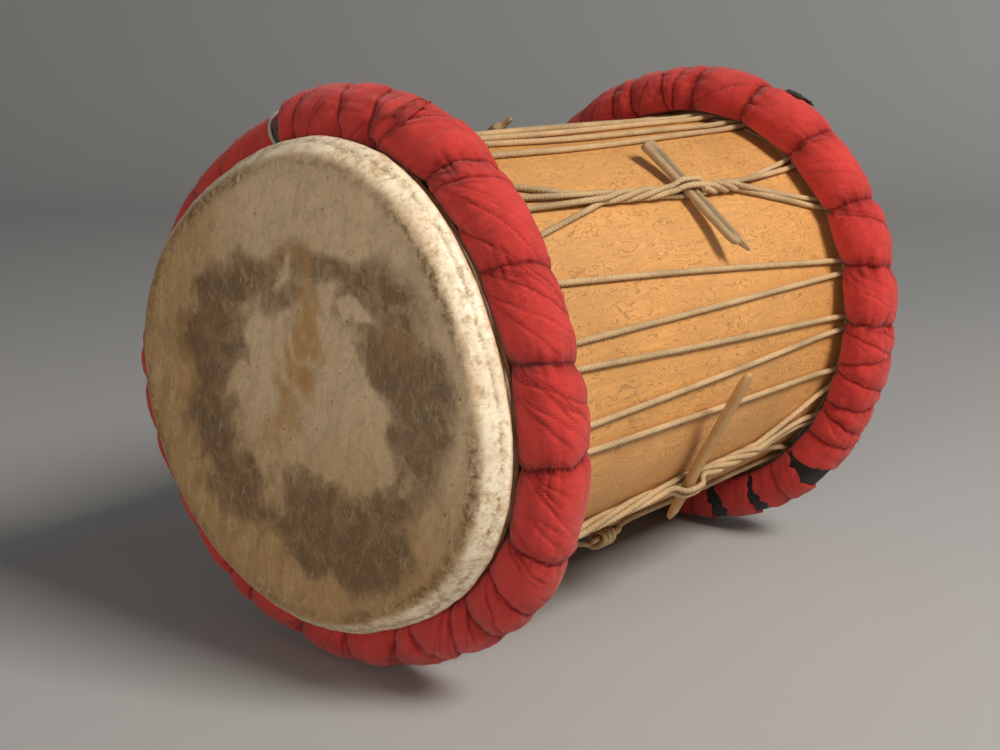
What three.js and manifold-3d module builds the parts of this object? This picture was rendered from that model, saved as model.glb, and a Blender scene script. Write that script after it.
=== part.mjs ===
// Rope-tensioned cylinder drum lying on its two padded collars. Millimetres, +Z up.
// X is the drum's axis with the played head at -X; the origin is on the floor under its middle.
import * as THREE from 'three';
import { mergeVertices } from 'three/addons/utils/BufferGeometryUtils.js';
import Module from 'manifold-3d';

const wasm = await Module();
wasm.setup();

// Shell
const drumLength = 508.6;
const shellMidRadius = 154;
const shellSwell = 2.4;
const shellEndRadius = shellMidRadius - shellSwell;
const shellWall = 14;
const bearingRound = 4;
const innerBevel = 6;
const shellStations = 6;

// Heads of rawhide, each folded over a cane flesh hoop
const skin = 1.8;
const faceInset = 1.1;
const faceEdgeRound = 4.5;
const lipOverhang = 13.4;
const lipSetback = 17.3;
const caneRadius = 4.4;
const ridgeOverhang = 9.4;
const ridgeSetback = 29.2;
const neckDepth = 2.6;
const rollFrontTurn = 50;
const rollBackTurn = 55;
const skirtStart = 38;
const skirtEnd = 46;
const hoopSides = 6;

// Collars: a straw ring wound with cloth strips
const collarSetback = 46.3;
const collarOverhang = 22.8;
const collarTubeRadius = 22.4;
const coreTubeRadius = 11;
const collarFlat = 0.5;
const creaseDepth = 2.4;
const underWrapStep = 2.6;
const collarCord = 2.4;
const collarCordAngle = 73.6;
const collarRoom = 2.5;
const wrapSkewAngle = 3.5;
const thinDepth = 4;
const thinAngle = 50;
const thinSpreadAngle = 20;

// Loose end of the black under-wrap, which lies on the back collar
const flapThickness = 1.6;
const flapFromAngle = 115;
const flapToAngle = 122;
const flapStartAngle = -8;
const flapEndAngle = 64;
const flapSteps = 4;

// Lacing rope
const rope = 4.4;
const boreRoom = 1.3;
const frontBight = 7;
const backBight = 4.5;
const ropeRise = 3.6;
const helixRadius = 4;
const twistAngle = 270;
const strandPhases = [225, 135, 45, -45];
const twistSteps = 5;
const eyeFlat = 9.5;
const eyeLength = 24;

// Knot that joins the two ends of the rope
const knotPlace = -26;
const knotLength = 15;
const knotReach = 36;
const knotTurns = 3;
const knotTurnSteps = 12;
const knotRise = 0.9;
const knotWide = 7.8;
const knotTall = 4.9;

// Tensioning sticks, in the order of their bundles: shares of the usual length and width, how far
// the middle of each is off its bundle as a share of the length, and its slant in degrees
const stickThickness = 6;
const stickGap = 0.45;
const stickLength = 120;
const stickWidth = 12;
const stickShares = [
  { split: true, length: 0.908, offset: 0.079, skew: 8.4, width: 1 },
  { split: false, length: 1.233, offset: -0.317, skew: 7.7, width: 1 },
  { split: true, length: 0.85, offset: -0.05, skew: -8, width: 1.17 },
  { split: false, length: 0.983, offset: 0.033, skew: 10, width: 1 },
  { split: false, length: 1.033, offset: -0.025, skew: -9, width: 1 },
];

// Clearances and mesh fineness
const fit = 0.3;
const overrun = 5;
const roundSegments = 36;
const ropeSides = 5;
const sectionPoints = 9;

// How far the hand-made ends are from round: [waves round the ring, cosine share, sine share]
const frontRoundShares = [[2, 0.01, 0], [3, 0.014, -0.013], [4, 0, 0.016]];
const backRoundShares = [[2, -0.006, -0.005], [3, 0.008, 0]];

// Angles round the axis in degrees: 90 is the top, 180 the side seen in front view, 270 the floor
const floorAngle = 270;
const levelSpreadAngle = 28;
const frontTurns = [100, 114, 127, 146, 168, 189, 210, 231];
const backTurns = [96, 107, 128, 145.5, 164, 180.4, 197, 213, 231];
const turnCount = 20;

// Bundles of four runs twisted by a stick: the first run, and as shares of half the drum's length
// the two ends of the twist and the place of the stick; its lean is in degrees
const bundleShares = [
  { first: 3, from: -0.263, to: 0.385, at: 0.118, lean: 0 },
  { first: 12, from: -0.582, to: 0.44, at: 0.047, lean: -6 },
  { first: 34, from: -0.409, to: 0.44, at: 0.106, lean: 0 },
  { first: 20, from: -0.393, to: 0.378, at: 0.039, lean: 0 },
  { first: 28, from: -0.354, to: 0.433, at: 0.079, lean: 0 },
];
const bundleRuns = 4;

const halfLength = drumLength / 2;
const faceRadius = shellEndRadius - faceInset;
const lipRadius = shellEndRadius + lipOverhang;
const ridgeRadius = shellEndRadius + ridgeOverhang;
const collarRing = shellEndRadius + collarOverhang;
const ropeRadius = rope / 2;
const bundles = bundleShares.map(({ from, to, at, ...rest }) =>
  ({ ...rest, from: from * halfLength, to: to * halfLength, at: at * halfLength }));
const floorDrop = collarRing + collarTubeRadius - collarFlat;
const radians = (degrees) => degrees * Math.PI / 180;

function smooth(value) {
  const share = Math.min(Math.max(value, 0), 1);
  return share * share * (3 - 2 * share);
}

// The shell swells like a barrel towards its middle
function shellRadius(x) {
  const share = x / halfLength;
  return shellMidRadius - shellSwell * share * share;
}

// A point from its place along the axis, its angle in degrees and its radius on a true cylinder
function place(x, angle, radius) {
  const shares = x < 0 ? frontRoundShares : backRoundShares;
  const turn = radians(angle);
  let offRound = 0;
  for (const [waves, cosine, sine] of shares) {
    offRound += cosine * Math.cos(waves * turn) + sine * Math.sin(waves * turn);
  }
  const fromFloor = Math.abs(((angle - floorAngle + 540) % 360) - 180) / levelSpreadAngle;
  offRound *= 1 - Math.exp(-fromFloor * fromFloor);
  offRound *= smooth(Math.abs(x) / (halfLength - collarSetback - collarTubeRadius));
  const carved = radius * (1 + offRound);
  return new THREE.Vector3(x, carved * Math.cos(turn), carved * Math.sin(turn));
}

function solidOf(geometry) {
  const bare = geometry.clone();
  for (const name of ['normal', 'uv']) bare.deleteAttribute(name);
  const merged = mergeVertices(bare);
  const mesh = new wasm.Mesh({
    numProp: 3,
    vertProperties: new Float32Array(merged.attributes.position.array),
    triVerts: new Uint32Array(merged.index.array),
  });
  return new wasm.Manifold(mesh);
}

function geometryOf(solid) {
  const mesh = solid.getMesh();
  const geometry = new THREE.BufferGeometry();
  geometry.setAttribute('position', new THREE.BufferAttribute(mesh.vertProperties, 3));
  geometry.setIndex(new THREE.BufferAttribute(mesh.triVerts, 1));
  return geometry;
}

// Joins rings of as many points each into one closed skin, capped at both ends unless it is a loop
function loft(rings, loop = false) {
  const count = rings[0].length;
  const index = [];
  const last = loop ? rings.length : rings.length - 1;
  for (let i = 0; i < last; i += 1) {
    const here = i * count;
    const next = ((i + 1) % rings.length) * count;
    for (let j = 0; j < count; j += 1) {
      const k = (j + 1) % count;
      index.push(here + j, next + j, here + k, here + k, next + j, next + k);
    }
  }
  if (!loop) {
    const end = (rings.length - 1) * count;
    for (let j = 1; j < count - 1; j += 1) {
      index.push(0, j, j + 1, end, end + j + 1, end + j);
    }
  }
  const geometry = new THREE.BufferGeometry();
  geometry.setFromPoints(rings.flat());
  geometry.setIndex(index);
  return geometry;
}

// A round tube along points, its section carried on without twist
function tube(points, radius, sides) {
  const rings = [];
  let side = null;
  points.forEach((point, i) => {
    const before = points[Math.max(i - 1, 0)];
    const after = points[Math.min(i + 1, points.length - 1)];
    const along = after.clone().sub(before).normalize();
    side = side ?? new THREE.Vector3(1, 1, 1).cross(along);
    side.addScaledVector(along, -side.dot(along)).normalize();
    const up = new THREE.Vector3().crossVectors(along, side);
    const ring = [];
    for (let j = 0; j < sides; j += 1) {
      const turn = -2 * Math.PI * j / sides;
      ring.push(point.clone().addScaledVector(side, radius * Math.cos(turn))
        .addScaledVector(up, radius * Math.sin(turn)));
    }
    rings.push(ring);
  });
  return loft(rings);
}

// Turns a profile of [place along the axis, radius] about the axis, then moves it off round
function turned(profile) {
  const points = profile.map(([x, radius]) => new THREE.Vector2(radius, x));
  const geometry = new THREE.LatheGeometry(points, roundSegments);
  const position = geometry.attributes.position;
  for (let i = 0; i < position.count; i += 1) {
    const [across, x, height] = [position.getX(i), position.getY(i), position.getZ(i)];
    const angle = Math.atan2(height, -across) / radians(1);
    const at = place(x, angle, Math.hypot(across, height));
    position.setXYZ(i, at.x, at.y, at.z);
  }
  return geometry;
}

function shellShape() {
  const end = halfLength - skin - fit;
  const outside = [];
  const inside = [];
  const from = end - bearingRound;
  for (let i = 0; i <= shellStations; i += 1) {
    const x = -from + 2 * from * i / shellStations;
    outside.push([x, shellRadius(x)]);
  }
  const rim = shellRadius(end);
  const nearRim = bearingRound * Math.SQRT1_2;
  const start = [[-end + bearingRound - nearRim, rim - bearingRound + nearRim]];
  const stop = [[end - bearingRound + nearRim, rim - bearingRound + nearRim]];
  for (let i = 1; i >= -1; i -= 1) {
    const x = (end - innerBevel) * i;
    inside.push([x, shellRadius(x) - shellWall]);
  }
  const lip = rim - shellWall + innerBevel / 2;
  const profile = [[-end, lip], [-end, rim - bearingRound], ...start, ...outside, ...stop,
    [end, rim - bearingRound], [end, lip], ...inside, [-end, lip]];
  return turned(profile);
}

// Line of a head's section from its middle round its skirt and back inside: [setback from its face,
// radius]. The rings whose third value is true carry the edges of the holes for the rope.
function headLine() {
  const roll = lipRadius - caneRadius - fit - skin;
  const rollOut = caneRadius + fit + skin;
  const rollIn = caneRadius + fit;
  const frontTurn = radians(rollFrontTurn);
  const backTurn = radians(rollBackTurn);
  const seat = shellRadius(halfLength - skirtStart) + fit;
  const seatEnd = shellRadius(halfLength - skirtEnd) + fit;
  const neckPlace = lipSetback + rollOut + skin / 2;
  const neck = ridgeRadius - neckDepth;
  const rollPoint = (radius, turn) =>
    [lipSetback - radius * Math.sin(turn), roll + radius * Math.cos(turn)];
  return [[0, 0], [0, faceRadius], [faceEdgeRound / 3, faceRadius + faceEdgeRound],
    rollPoint(rollOut, frontTurn), rollPoint(rollOut, 0), rollPoint(rollOut, -backTurn),
    [neckPlace, neck], [ridgeSetback, ridgeRadius, true], [skirtStart, seat + skin, true],
    [skirtEnd, seatEnd + skin], [skirtEnd, seatEnd],
    [skirtStart - skin / 2, seat, true], [ridgeSetback + skin / 2, ridgeRadius - skin, true],
    [neckPlace, neck - skin], rollPoint(rollIn, -backTurn), rollPoint(rollIn, 0),
    rollPoint(rollIn, frontTurn),
    [faceEdgeRound / 3 + skin, faceRadius + faceEdgeRound / 2], [skin, faceRadius - skin],
    [skin, 0]];
}

// Angles of the ring that carries the holes: two hole edges for each run, and even ones between
function piercedAngles(side) {
  const half = side < 0 ? frontBight : backBight;
  const wide = degreesAcross(ropeRadius + boreRoom, ridgeRadius);
  const holes = [];
  for (const angle of (side < 0 ? frontAngles : backAngles).slice(0, turnCount)) {
    for (const arm of [-1, 1]) {
      const middle = (angle + arm * degreesAcross(half, ridgeRadius)) % 360;
      holes.push([middle - wide, middle + wide]);
    }
  }
  const inHole = (angle) => holes.some(([from, to]) => angle > from - wide && angle < to + wide);
  const even = evenAngles().filter((angle) => !inHole(angle)).map((angle) => ({ angle, hole: false }));
  const edges = holes.flatMap(([from, to]) => [{ angle: from, hole: true }, { angle: to, hole: false }]);
  return [...even, ...edges].sort((a, b) => a.angle - b.angle);
}

function evenAngles() {
  return Array.from({ length: roundSegments }, (_, i) => 360 * i / roundSegments);
}

// A head is a turned skin whose skirt is pierced behind its ridge: there the rope goes in under the
// ridge and comes out again. Rings of unlike point counts are joined by always taking the nearer next.
function headShape(side) {
  const pierced = piercedAngles(side);
  const even = evenAngles().map((angle) => ({ angle, hole: false }));
  const points = [];
  const index = [];
  const rings = headLine().map(([setback, radius, holed]) => {
    const stops = radius === 0 ? even.slice(0, 1) : holed ? pierced : even;
    return stops.map(({ angle, hole }) => {
      points.push(place(side * (halfLength - setback), angle, radius));
      return { angle, hole, id: points.length - 1 };
    });
  });
  const join = (near, far, open) => {
    let i = 0;
    let j = 0;
    const nearCount = near.length > 1 ? near.length : 0;
    const farCount = far.length > 1 ? far.length : 0;
    const next = (ring, k) => (ring[(k + 1) % ring.length].angle + (k + 1 >= ring.length ? 360 : 0));
    while (i < nearCount || j < farCount) {
      const a = near[i % near.length];
      const b = far[j % far.length];
      const onNear = j >= farCount || (i < nearCount && next(near, i) <= next(far, j));
      const c = onNear ? near[(i + 1) % near.length] : far[(j + 1) % far.length];
      const cell = near[onNear ? i % near.length : (i + near.length - 1) % near.length];
      if (!(open && cell.hole)) index.push(a.id, b.id, c.id);
      if (onNear) i += 1;
      else j += 1;
    }
  };
  const holed = [];
  rings.forEach((ring, i) => {
    const next = rings[i + 1];
    if (!next) return;
    const open = ring.length === pierced.length && next.length === pierced.length;
    join(ring, next, open);
    if (open) holed.push([ring, next]);
  });
  const [[outerRidge, outerSkirt], [innerSkirt, innerRidge]] = holed;
  pierced.forEach(({ hole }, k) => {
    if (!hole) return;
    const after = (k + 1) % pierced.length;
    const outer = [outerRidge[k], outerSkirt[k], outerSkirt[after], outerRidge[after]];
    const inner = [innerRidge[k], innerSkirt[k], innerSkirt[after], innerRidge[after]];
    for (let e = 0; e < outer.length; e += 1) {
      const f = (e + 1) % outer.length;
      index.push(outer[e].id, outer[f].id, inner[f].id, outer[e].id, inner[f].id, inner[e].id);
    }
  });
  const geometry = new THREE.BufferGeometry().setFromPoints(points);
  geometry.setIndex(side < 0 ? index.reverse() : index);
  return geometry;
}

function hoopShape(side) {
  const centre = side * (halfLength - lipSetback);
  const ring = lipRadius - caneRadius - fit - skin;
  return turned(circleProfile(centre, ring, caneRadius));
}

function circleProfile(centre, ring, radius) {
  const profile = [];
  for (let i = 0; i <= hoopSides; i += 1) {
    const turn = 2 * Math.PI * (i % hoopSides) / hoopSides;
    profile.push([centre - radius * Math.sin(turn), ring - radius * Math.cos(turn)]);
  }
  return profile;
}

function coreRingShape(side, room = 0) {
  const centre = side * (halfLength - collarSetback);
  const ring = collarRing + (collarTubeRadius - coreTubeRadius) / 4;
  return turned(circleProfile(centre, ring, coreTubeRadius + room));
}

// Rope radius of its centre line by setback from the head's face
function ropeHeight(x) {
  const setback = halfLength - Math.abs(x);
  const tucked = shellRadius(halfLength - ridgeSetback) + fit + ropeRadius;
  const onSkirt = shellRadius(halfLength - skirtEnd) + fit + skin + fit + ropeRadius;
  const onShell = shellRadius(x) + fit + ropeRadius;
  if (setback < skirtEnd) {
    const rise = (setback - skirtStart + boreRoom + ropeRise) / ropeRise;
    return tucked + (onSkirt - tucked) * smooth(rise);
  }
  return onSkirt + (onShell - onSkirt) * smooth((setback - skirtEnd) / (skirtEnd - skirtStart));
}

const degreesAcross = (length, radius) => length / radius / radians(1);

// Turning points go on at an even step round the hidden side, the first once more at the end
function allTurns(seen) {
  const turns = [...seen];
  const open = turnCount - seen.length + 1;
  const step = (seen[0] + 360 - seen[seen.length - 1]) / open;
  for (let i = 1; i <= open; i += 1) turns.push(seen[seen.length - 1] + step * i);
  return turns;
}

const frontAngles = allTurns(frontTurns);
const backAngles = allTurns(backTurns);

// Half a turn of rope under the ridge of a head
const bightShares = [-1, -0.37, 0.37, 1];

function bightPoints(side, angle) {
  const half = side < 0 ? frontBight : backBight;
  const points = [];
  for (const share of bightShares) {
    const turn = share * Math.PI / 2;
    const reach = Math.abs(share) < 1 ? half * (1 - Math.cos(turn)) : frontBight;
    const setback = ridgeSetback - fit + reach;
    const x = side * (halfLength - setback);
    const height = ropeHeight(x);
    points.push([x, angle + degreesAcross(half * Math.sin(turn), height), height]);
  }
  return points;
}

// The two ends of a run, back end first: even runs leave the back turning point of their number
function runEnds(run) {
  const number = Math.floor(run / 2);
  const even = run % 2 === 0;
  const back = bightPoints(1, backAngles[even ? number : number + 1]);
  const front = bightPoints(-1, frontAngles[number]);
  return { back: even ? back[3] : back[0], front: even ? front[0] : front[3] };
}

// Points of a straight run of rope at places along the axis
function straightRun(from, to, places) {
  return places.map((x) => {
    const share = (x - from[0]) / (to[0] - from[0]);
    return [x, from[1] + (to[1] - from[1]) * share, ropeHeight(x)];
  });
}

const skirtPlace = halfLength - skirtEnd;
const collarStart = halfLength - collarSetback - collarTubeRadius;
const fanShares = [0.4];

function freeRun(run) {
  const { back, front } = runEnds(run);
  const places = [skirtPlace, collarStart, collarStart / 2];
  return straightRun(back, front, [...places, 0, ...places.map((x) => -x).reverse()]);
}

function bundleCentre(bundle, x) {
  let back = 0;
  let front = 0;
  for (let i = 0; i < bundleRuns; i += 1) {
    const ends = runEnds(bundle.first + i);
    back += ends.back[1] / bundleRuns;
    front += ends.front[1] / bundleRuns;
  }
  return front + (back - front) * (x + halfLength) / drumLength;
}

// Height of a stick's middle plane over the axis, where it lies tangent to the shell
function stickHeight(bundle) {
  return shellRadius(bundle.at) + fit + rope + stickGap + stickThickness / 2;
}

// One strand of a twisted bundle: straight, wound round the others, over or under the stick, and back
function bundleStrand(bundle, strand) {
  const { back, front } = runEnds(bundle.first + strand);
  const phase = strandPhases[strand];
  const above = Math.sin(radians(phase + twistAngle)) > 0;
  const lean = Math.cos(radians(bundle.lean));
  const twistPoint = (x, share, lift) => {
    const centre = shellRadius(x) + fit + ropeRadius + helixRadius;
    const turn = radians(phase + twistAngle * share);
    const free = centre + helixRadius * Math.sin(turn);
    const middle = stickHeight(bundle) / lean;
    const reach = stickThickness / 2 / lean + stickGap + ropeRadius;
    const over = middle + reach;
    const under = Math.min(middle - reach, shellRadius(x) + fit + ropeRadius);
    const height = free + ((above ? over : under) - free) * lift;
    const across = degreesAcross(helixRadius * Math.cos(turn), centre);
    return [x, bundleCentre(bundle, x) + across, height];
  };
  const fan = (tip, end) => fanShares.map((share) => {
    const x = tip[0] + (end[0] - tip[0]) * share;
    const extra = tip[2] - ropeHeight(tip[0]);
    const height = ropeHeight(x) + extra * (1 - share * share);
    return [x, tip[1] + (end[1] - tip[1]) * share, height];
  });
  const half = (end, limit, side) => {
    const near = bundle.at + side * eyeLength;
    const twist = [];
    for (let i = 0; i <= twistSteps; i += 1) {
      const share = i / twistSteps;
      twist.push(twistPoint(limit + (near - limit) * share, share, 0));
    }
    const [atSkirt, offCollar] = straightRun(end, twist[0], [side * skirtPlace, side * collarStart]);
    const eye = twistPoint(bundle.at + side * eyeFlat, 1, 1);
    return [atSkirt, offCollar, ...fan(twist[0], offCollar).reverse(), ...twist, eye];
  };
  const backHalf = half(back, bundle.to, 1);
  const frontHalf = half(front, bundle.from, -1);
  return [...backHalf, ...frontHalf.reverse()];
}

function runPoints(run) {
  const bundle = bundles.find((one) => run >= one.first && run < one.first + bundleRuns);
  const points = bundle ? bundleStrand(bundle, run - bundle.first) : freeRun(run);
  return run % 2 === 0 ? points : points.reverse();
}

const knotRun = 2 * (backTurns.length - 1);
const knotHeight = knotRise + rope + ropeRadius;

// The two rope ends lie side by side through the knot
function knotEnd(towardFront) {
  const { back, front } = runEnds(knotRun);
  const side = towardFront ? -1 : 1;
  const angleAt = (x) => back[1] + (front[1] - back[1]) * (x - back[0]) / (front[0] - back[0]);
  const spots = [-knotLength, 0, knotLength].map((step) => knotPlace + side * step);
  const points = spots.map((x) => {
    const height = shellRadius(x) + knotHeight;
    return [x, angleAt(x) + degreesAcross(-side * (ropeRadius + fit), height), height];
  });
  const end = towardFront ? front : back;
  const places = [knotReach * side + knotPlace, side * collarStart, side * skirtPlace];
  if (!towardFront) places.splice(1, 0, collarStart / 2);
  return [...points, ...straightRun(towardFront ? back : front, end, places)];
}

function ropePath() {
  const path = knotEnd(true);
  for (let step = 1; step <= 2 * turnCount; step += 1) {
    const run = (knotRun + step) % (2 * turnCount);
    const forward = run % 2 === 0;
    const number = Math.floor(run / 2);
    const side = forward ? 1 : -1;
    const angle = forward ? backAngles[number] : frontAngles[number];
    const bight = bightPoints(side, angle);
    path.push(...bight);
    if (step < 2 * turnCount) path.push(...runPoints(run));
  }
  path.push(...knotEnd(false).reverse());
  return path.map(([x, angle, height]) => place(x, angle, height));
}

// Whipped knot: oval turns of rope round both ends
function knotPath() {
  const { back, front } = runEnds(knotRun);
  const steps = knotTurnSteps * knotTurns;
  const points = [];
  for (let i = 0; i <= steps; i += 1) {
    const turn = 2 * Math.PI * knotTurns * i / steps;
    const x = knotPlace + (i / steps - 1 / 2) * knotTurns * (rope + 2 * fit);
    const angle = back[1] + (front[1] - back[1]) * (x - back[0]) / (front[0] - back[0]);
    const centre = shellRadius(x) + knotHeight;
    const height = centre + knotTall * Math.sin(turn);
    points.push(place(x, angle + degreesAcross(knotWide * Math.cos(turn), centre), height));
  }
  return points;
}

// Collar section as [offset along the axis, offset outwards]: a round cut flat towards the shell
function collarSection(size) {
  const inner = collarInner() - collarRing;
  const limit = Math.acos(inner / collarTubeRadius);
  const section = [];
  for (let i = 0; i < sectionPoints; i += 1) {
    const turn = (2 * i / (sectionPoints - 1) - 1) * limit;
    const out = Math.max(size * Math.cos(turn), inner);
    section.push({ along: size * Math.sin(turn), out });
  }
  return section;
}

function collarInner() {
  return ropeHeight(skirtPlace) + ropeRadius + collarRoom;
}

// The front collar is wound thinner on its far upper side
function collarSize(side, angle) {
  const away = (((angle - thinAngle + 540) % 360) - 180) / thinSpreadAngle;
  return collarTubeRadius - (side < 0 ? thinDepth * Math.exp(-away * away) : 0);
}

const skewAngle = (along) => wrapSkewAngle * along / collarTubeRadius;
const lumpShares = [[0.2, 0.26], [0.5, 0], [0.8, 0.22]];

// One length of collar wrap between two angles, drawn in at its creases
function sleeve(side, from, to, creases, depth) {
  const centre = side * (halfLength - collarSetback);
  const gap = degreesAcross(fit / 2, collarRing);
  const marks = [from + gap, ...creases.filter((angle) => angle > from && angle < to), to - gap];
  const rings = [];
  const ring = (angle, drawn) => collarSection(collarSize(side, angle) - depth - creaseDepth * drawn)
    .map(({ along, out }) => place(centre + along, angle + skewAngle(along), collarRing + out));
  marks.forEach((mark, i) => {
    rings.push(ring(mark, 1));
    if (i === marks.length - 1 || depth > 0) return;
    for (const [share, drawn] of lumpShares) {
      rings.push(ring(mark + (marks[i + 1] - mark) * share, drawn));
    }
  });
  const solid = solidOf(loft(rings)).subtract(solidOf(coreRingShape(side, fit)));
  return geometryOf(levelled(solid));
}

// Cuts away what would reach below the floor
function levelled(solid) {
  const width = 2 * (collarRing + collarTubeRadius);
  const block = new THREE.BoxGeometry(drumLength, width, overrun);
  block.translate(0, 0, -floorDrop - overrun / 2);
  return solid.subtract(solidOf(block));
}

function flapShape(side) {
  const centre = side * (halfLength - collarSetback);
  const near = collarTubeRadius + 2 * fit;
  const rings = [];
  for (let i = 0; i <= flapSteps; i += 1) {
    const turn = radians(flapStartAngle + (flapEndAngle - flapStartAngle) * i / flapSteps);
    const corner = (angle, size) =>
      place(centre + side * size * Math.sin(turn), angle, collarRing + size * Math.cos(turn));
    const far = near + flapThickness;
    rings.push([corner(flapFromAngle, near), corner(flapToAngle, near), corner(flapToAngle, far),
      corner(flapFromAngle, far)]);
  }
  return loft(rings);
}

// Cord tied round the front collar, its two ends tucked in beside the lacing
function collarCordPath(side) {
  const centre = side * (halfLength - collarSetback);
  const bed = collarSize(side, collarCordAngle) - underWrapStep - creaseDepth;
  const size = bed + collarCord / 2 + 2 * fit;
  return collarSection(size).filter(({ out }) => out > collarInner() - collarRing)
    .map(({ along, out }) =>
      place(centre + along, collarCordAngle + skewAngle(along), collarRing + out));
}

// Flat stick with rounded ends: shares of [length, width, thickness] along it
const flatStickShares = [[0, 0.4, 0.5], [0.04, 0.85, 0.95], [0.12, 1, 1], [0.55, 1.02, 1],
  [0.88, 0.94, 0.95], [0.97, 0.78, 0.85], [1, 0.35, 0.45]];
const splitStickShares = [[0, 0.75, 1], [0.03, 1.15, 1], [0.3, 1.05, 1], [0.6, 0.95, 1],
  [0.88, 0.82, 0.9], [0.93, 0.45, 0.6], [1, 0.15, 0.25]];

// Corner share of a stick's section
const cornerShare = 0.55;

// A stick lies tangent to the shell, between the upper and the lower strands of its bundle
function stickShape(stick, bundle) {
  const crossing = bundleCentre(bundle, bundle.at);
  const tangent = radians(crossing + bundle.lean);
  const outward = new THREE.Vector3(0, Math.cos(tangent), Math.sin(tangent));
  const down = new THREE.Vector3(0, -Math.sin(tangent), Math.cos(tangent));
  const axis = new THREE.Vector3(1, 0, 0);
  const lie = radians(stick.skew);
  const along = down.clone().multiplyScalar(Math.cos(lie)).addScaledVector(axis, Math.sin(lie));
  const across = axis.clone().multiplyScalar(Math.cos(lie)).addScaledVector(down, -Math.sin(lie));
  const shift = -Math.tan(radians(bundle.lean)) * stickHeight(bundle);
  const middle = outward.clone().multiplyScalar(stickHeight(bundle))
    .addScaledVector(down, shift).addScaledVector(axis, bundle.at);
  const outline = [[1, cornerShare], [cornerShare, 1], [-cornerShare, 1], [-1, cornerShare],
    [-1, -cornerShare], [-cornerShare, -1], [cornerShare, -1], [1, -cornerShare]];
  const shares = stick.split ? splitStickShares : flatStickShares;
  const rings = shares.map(([share, wide, thick]) => outline.map(([a, b]) => middle.clone()
    .addScaledVector(along, stickLength * (stick.offset + stick.length * (share - 1 / 2)))
    .addScaledVector(across, a * wide * stick.width * stickWidth / 2)
    .addScaledVector(outward, b * thick * stickThickness / 2)));
  return loft(rings.reverse());
}

// Finishes
const finish = (color, roughness) => new THREE.MeshStandardMaterial({ color, roughness, metalness: 0 });
const wood = finish(0xc98d4a, 0.6);
const hide = finish(0xb5a588, 0.5);
const cane = finish(0xb08d57, 0.7);
const straw = finish(0xa98f5a, 0.9);
const redCloth = finish(0xc2302c, 0.95);
const blackCloth = finish(0x24211f, 0.95);
const twine = finish(0xcdb58d, 0.9);
const greyTwine = finish(0xa9a69c, 0.9);
const splitWood = finish(0x9c8463, 0.8);
const paleWood = finish(0xc79e62, 0.7);

const drum = new THREE.Group();
drum.position.z = floorDrop;

function addPiece(name, geometry, material) {
  const mesh = new THREE.Mesh(geometry, material);
  mesh.name = name;
  drum.add(mesh);
}

addPiece('shell', shellShape(), wood);
addPiece('lacing_rope', tube(ropePath(), ropeRadius, ropeSides), twine);
addPiece('rope_knot', tube(knotPath(), ropeRadius, ropeSides), twine);

// Wraps by angle; the creases between them fall where the rope turns below
const wraps = {
  front: {
    side: -1,
    red: [[77, 123], [123, 166.5], [166.5, 223], [223, 329], [329, 432.5]],
    black: [[72.5, 77]],
    creases: [87, 104, 135, 147.5, 185.5, 205, 240, 259, 281, 305, 353, 377, 401],
  },
  back: {
    side: 1,
    red: [[110.5, 176], [176, 222], [227, 240], [244, 252], [257, 331], [331, 403], [403, 470.5]],
    black: [[222, 227], [240, 244], [252, 257]],
    creases: [130, 148.5, 164.5, 192, 207, 283, 307, 355, 379, 427, 450],
  },
};

for (const [end, { side, red, black, creases }] of Object.entries(wraps)) {
  addPiece(`${end}_head`, headShape(side), hide);
  addPiece(`${end}_flesh_hoop`, hoopShape(side), cane);
  addPiece(`${end}_collar_core`, coreRingShape(side), straw);
  red.forEach(([from, to], i) => {
    addPiece(`${end}_red_wrap_${i + 1}`, sleeve(side, from, to, creases, 0), redCloth);
  });
  black.forEach(([from, to], i) => {
    addPiece(`${end}_black_wrap_${i + 1}`, sleeve(side, from, to, [], underWrapStep), blackCloth);
  });
}
addPiece('back_black_flap', flapShape(1), blackCloth);
addPiece('front_collar_cord', tube(collarCordPath(-1), collarCord / 2, ropeSides), greyTwine);

stickShares.forEach((stick, i) => {
  const material = stick.split ? splitWood : paleWood;
  addPiece(`toggle_stick_${i + 1}`, stickShape(stick, bundles[i]), material);
});

// The soft collars are not quite round, so the whole is set midway between its two sides
const bounds = new THREE.Box3().setFromObject(drum);
drum.position.y -= (bounds.min.y + bounds.max.y) / 2;

export default drum;
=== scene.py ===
"""Rope-tensioned cylinder drum, dressed over its solid frame."""
from collections import namedtuple
from functools import partial
from itertools import product
from math import pi

import bpy
import numpy as np
from bpy.props import FloatProperty, FloatVectorProperty, IntProperty, PointerProperty
from mathutils import Matrix, Vector


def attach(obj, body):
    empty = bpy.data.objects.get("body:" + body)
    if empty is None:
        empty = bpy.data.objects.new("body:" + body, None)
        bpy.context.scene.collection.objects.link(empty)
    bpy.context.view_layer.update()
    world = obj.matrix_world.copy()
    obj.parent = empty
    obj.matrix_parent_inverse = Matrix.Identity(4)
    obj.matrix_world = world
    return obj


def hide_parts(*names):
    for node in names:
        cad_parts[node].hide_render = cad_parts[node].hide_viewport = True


bl_info = {
    "name": "Rope-Tensioned Cylinder Drum",
    "version": (1, 0, 0),
    "blender": (4, 5, 0),
    "location": "View3D > Sidebar > Drum",
    "description": "Builds a carved drum with rawhide heads, rope lacing and cloth collars",
    "category": "Add Mesh",
}

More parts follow.
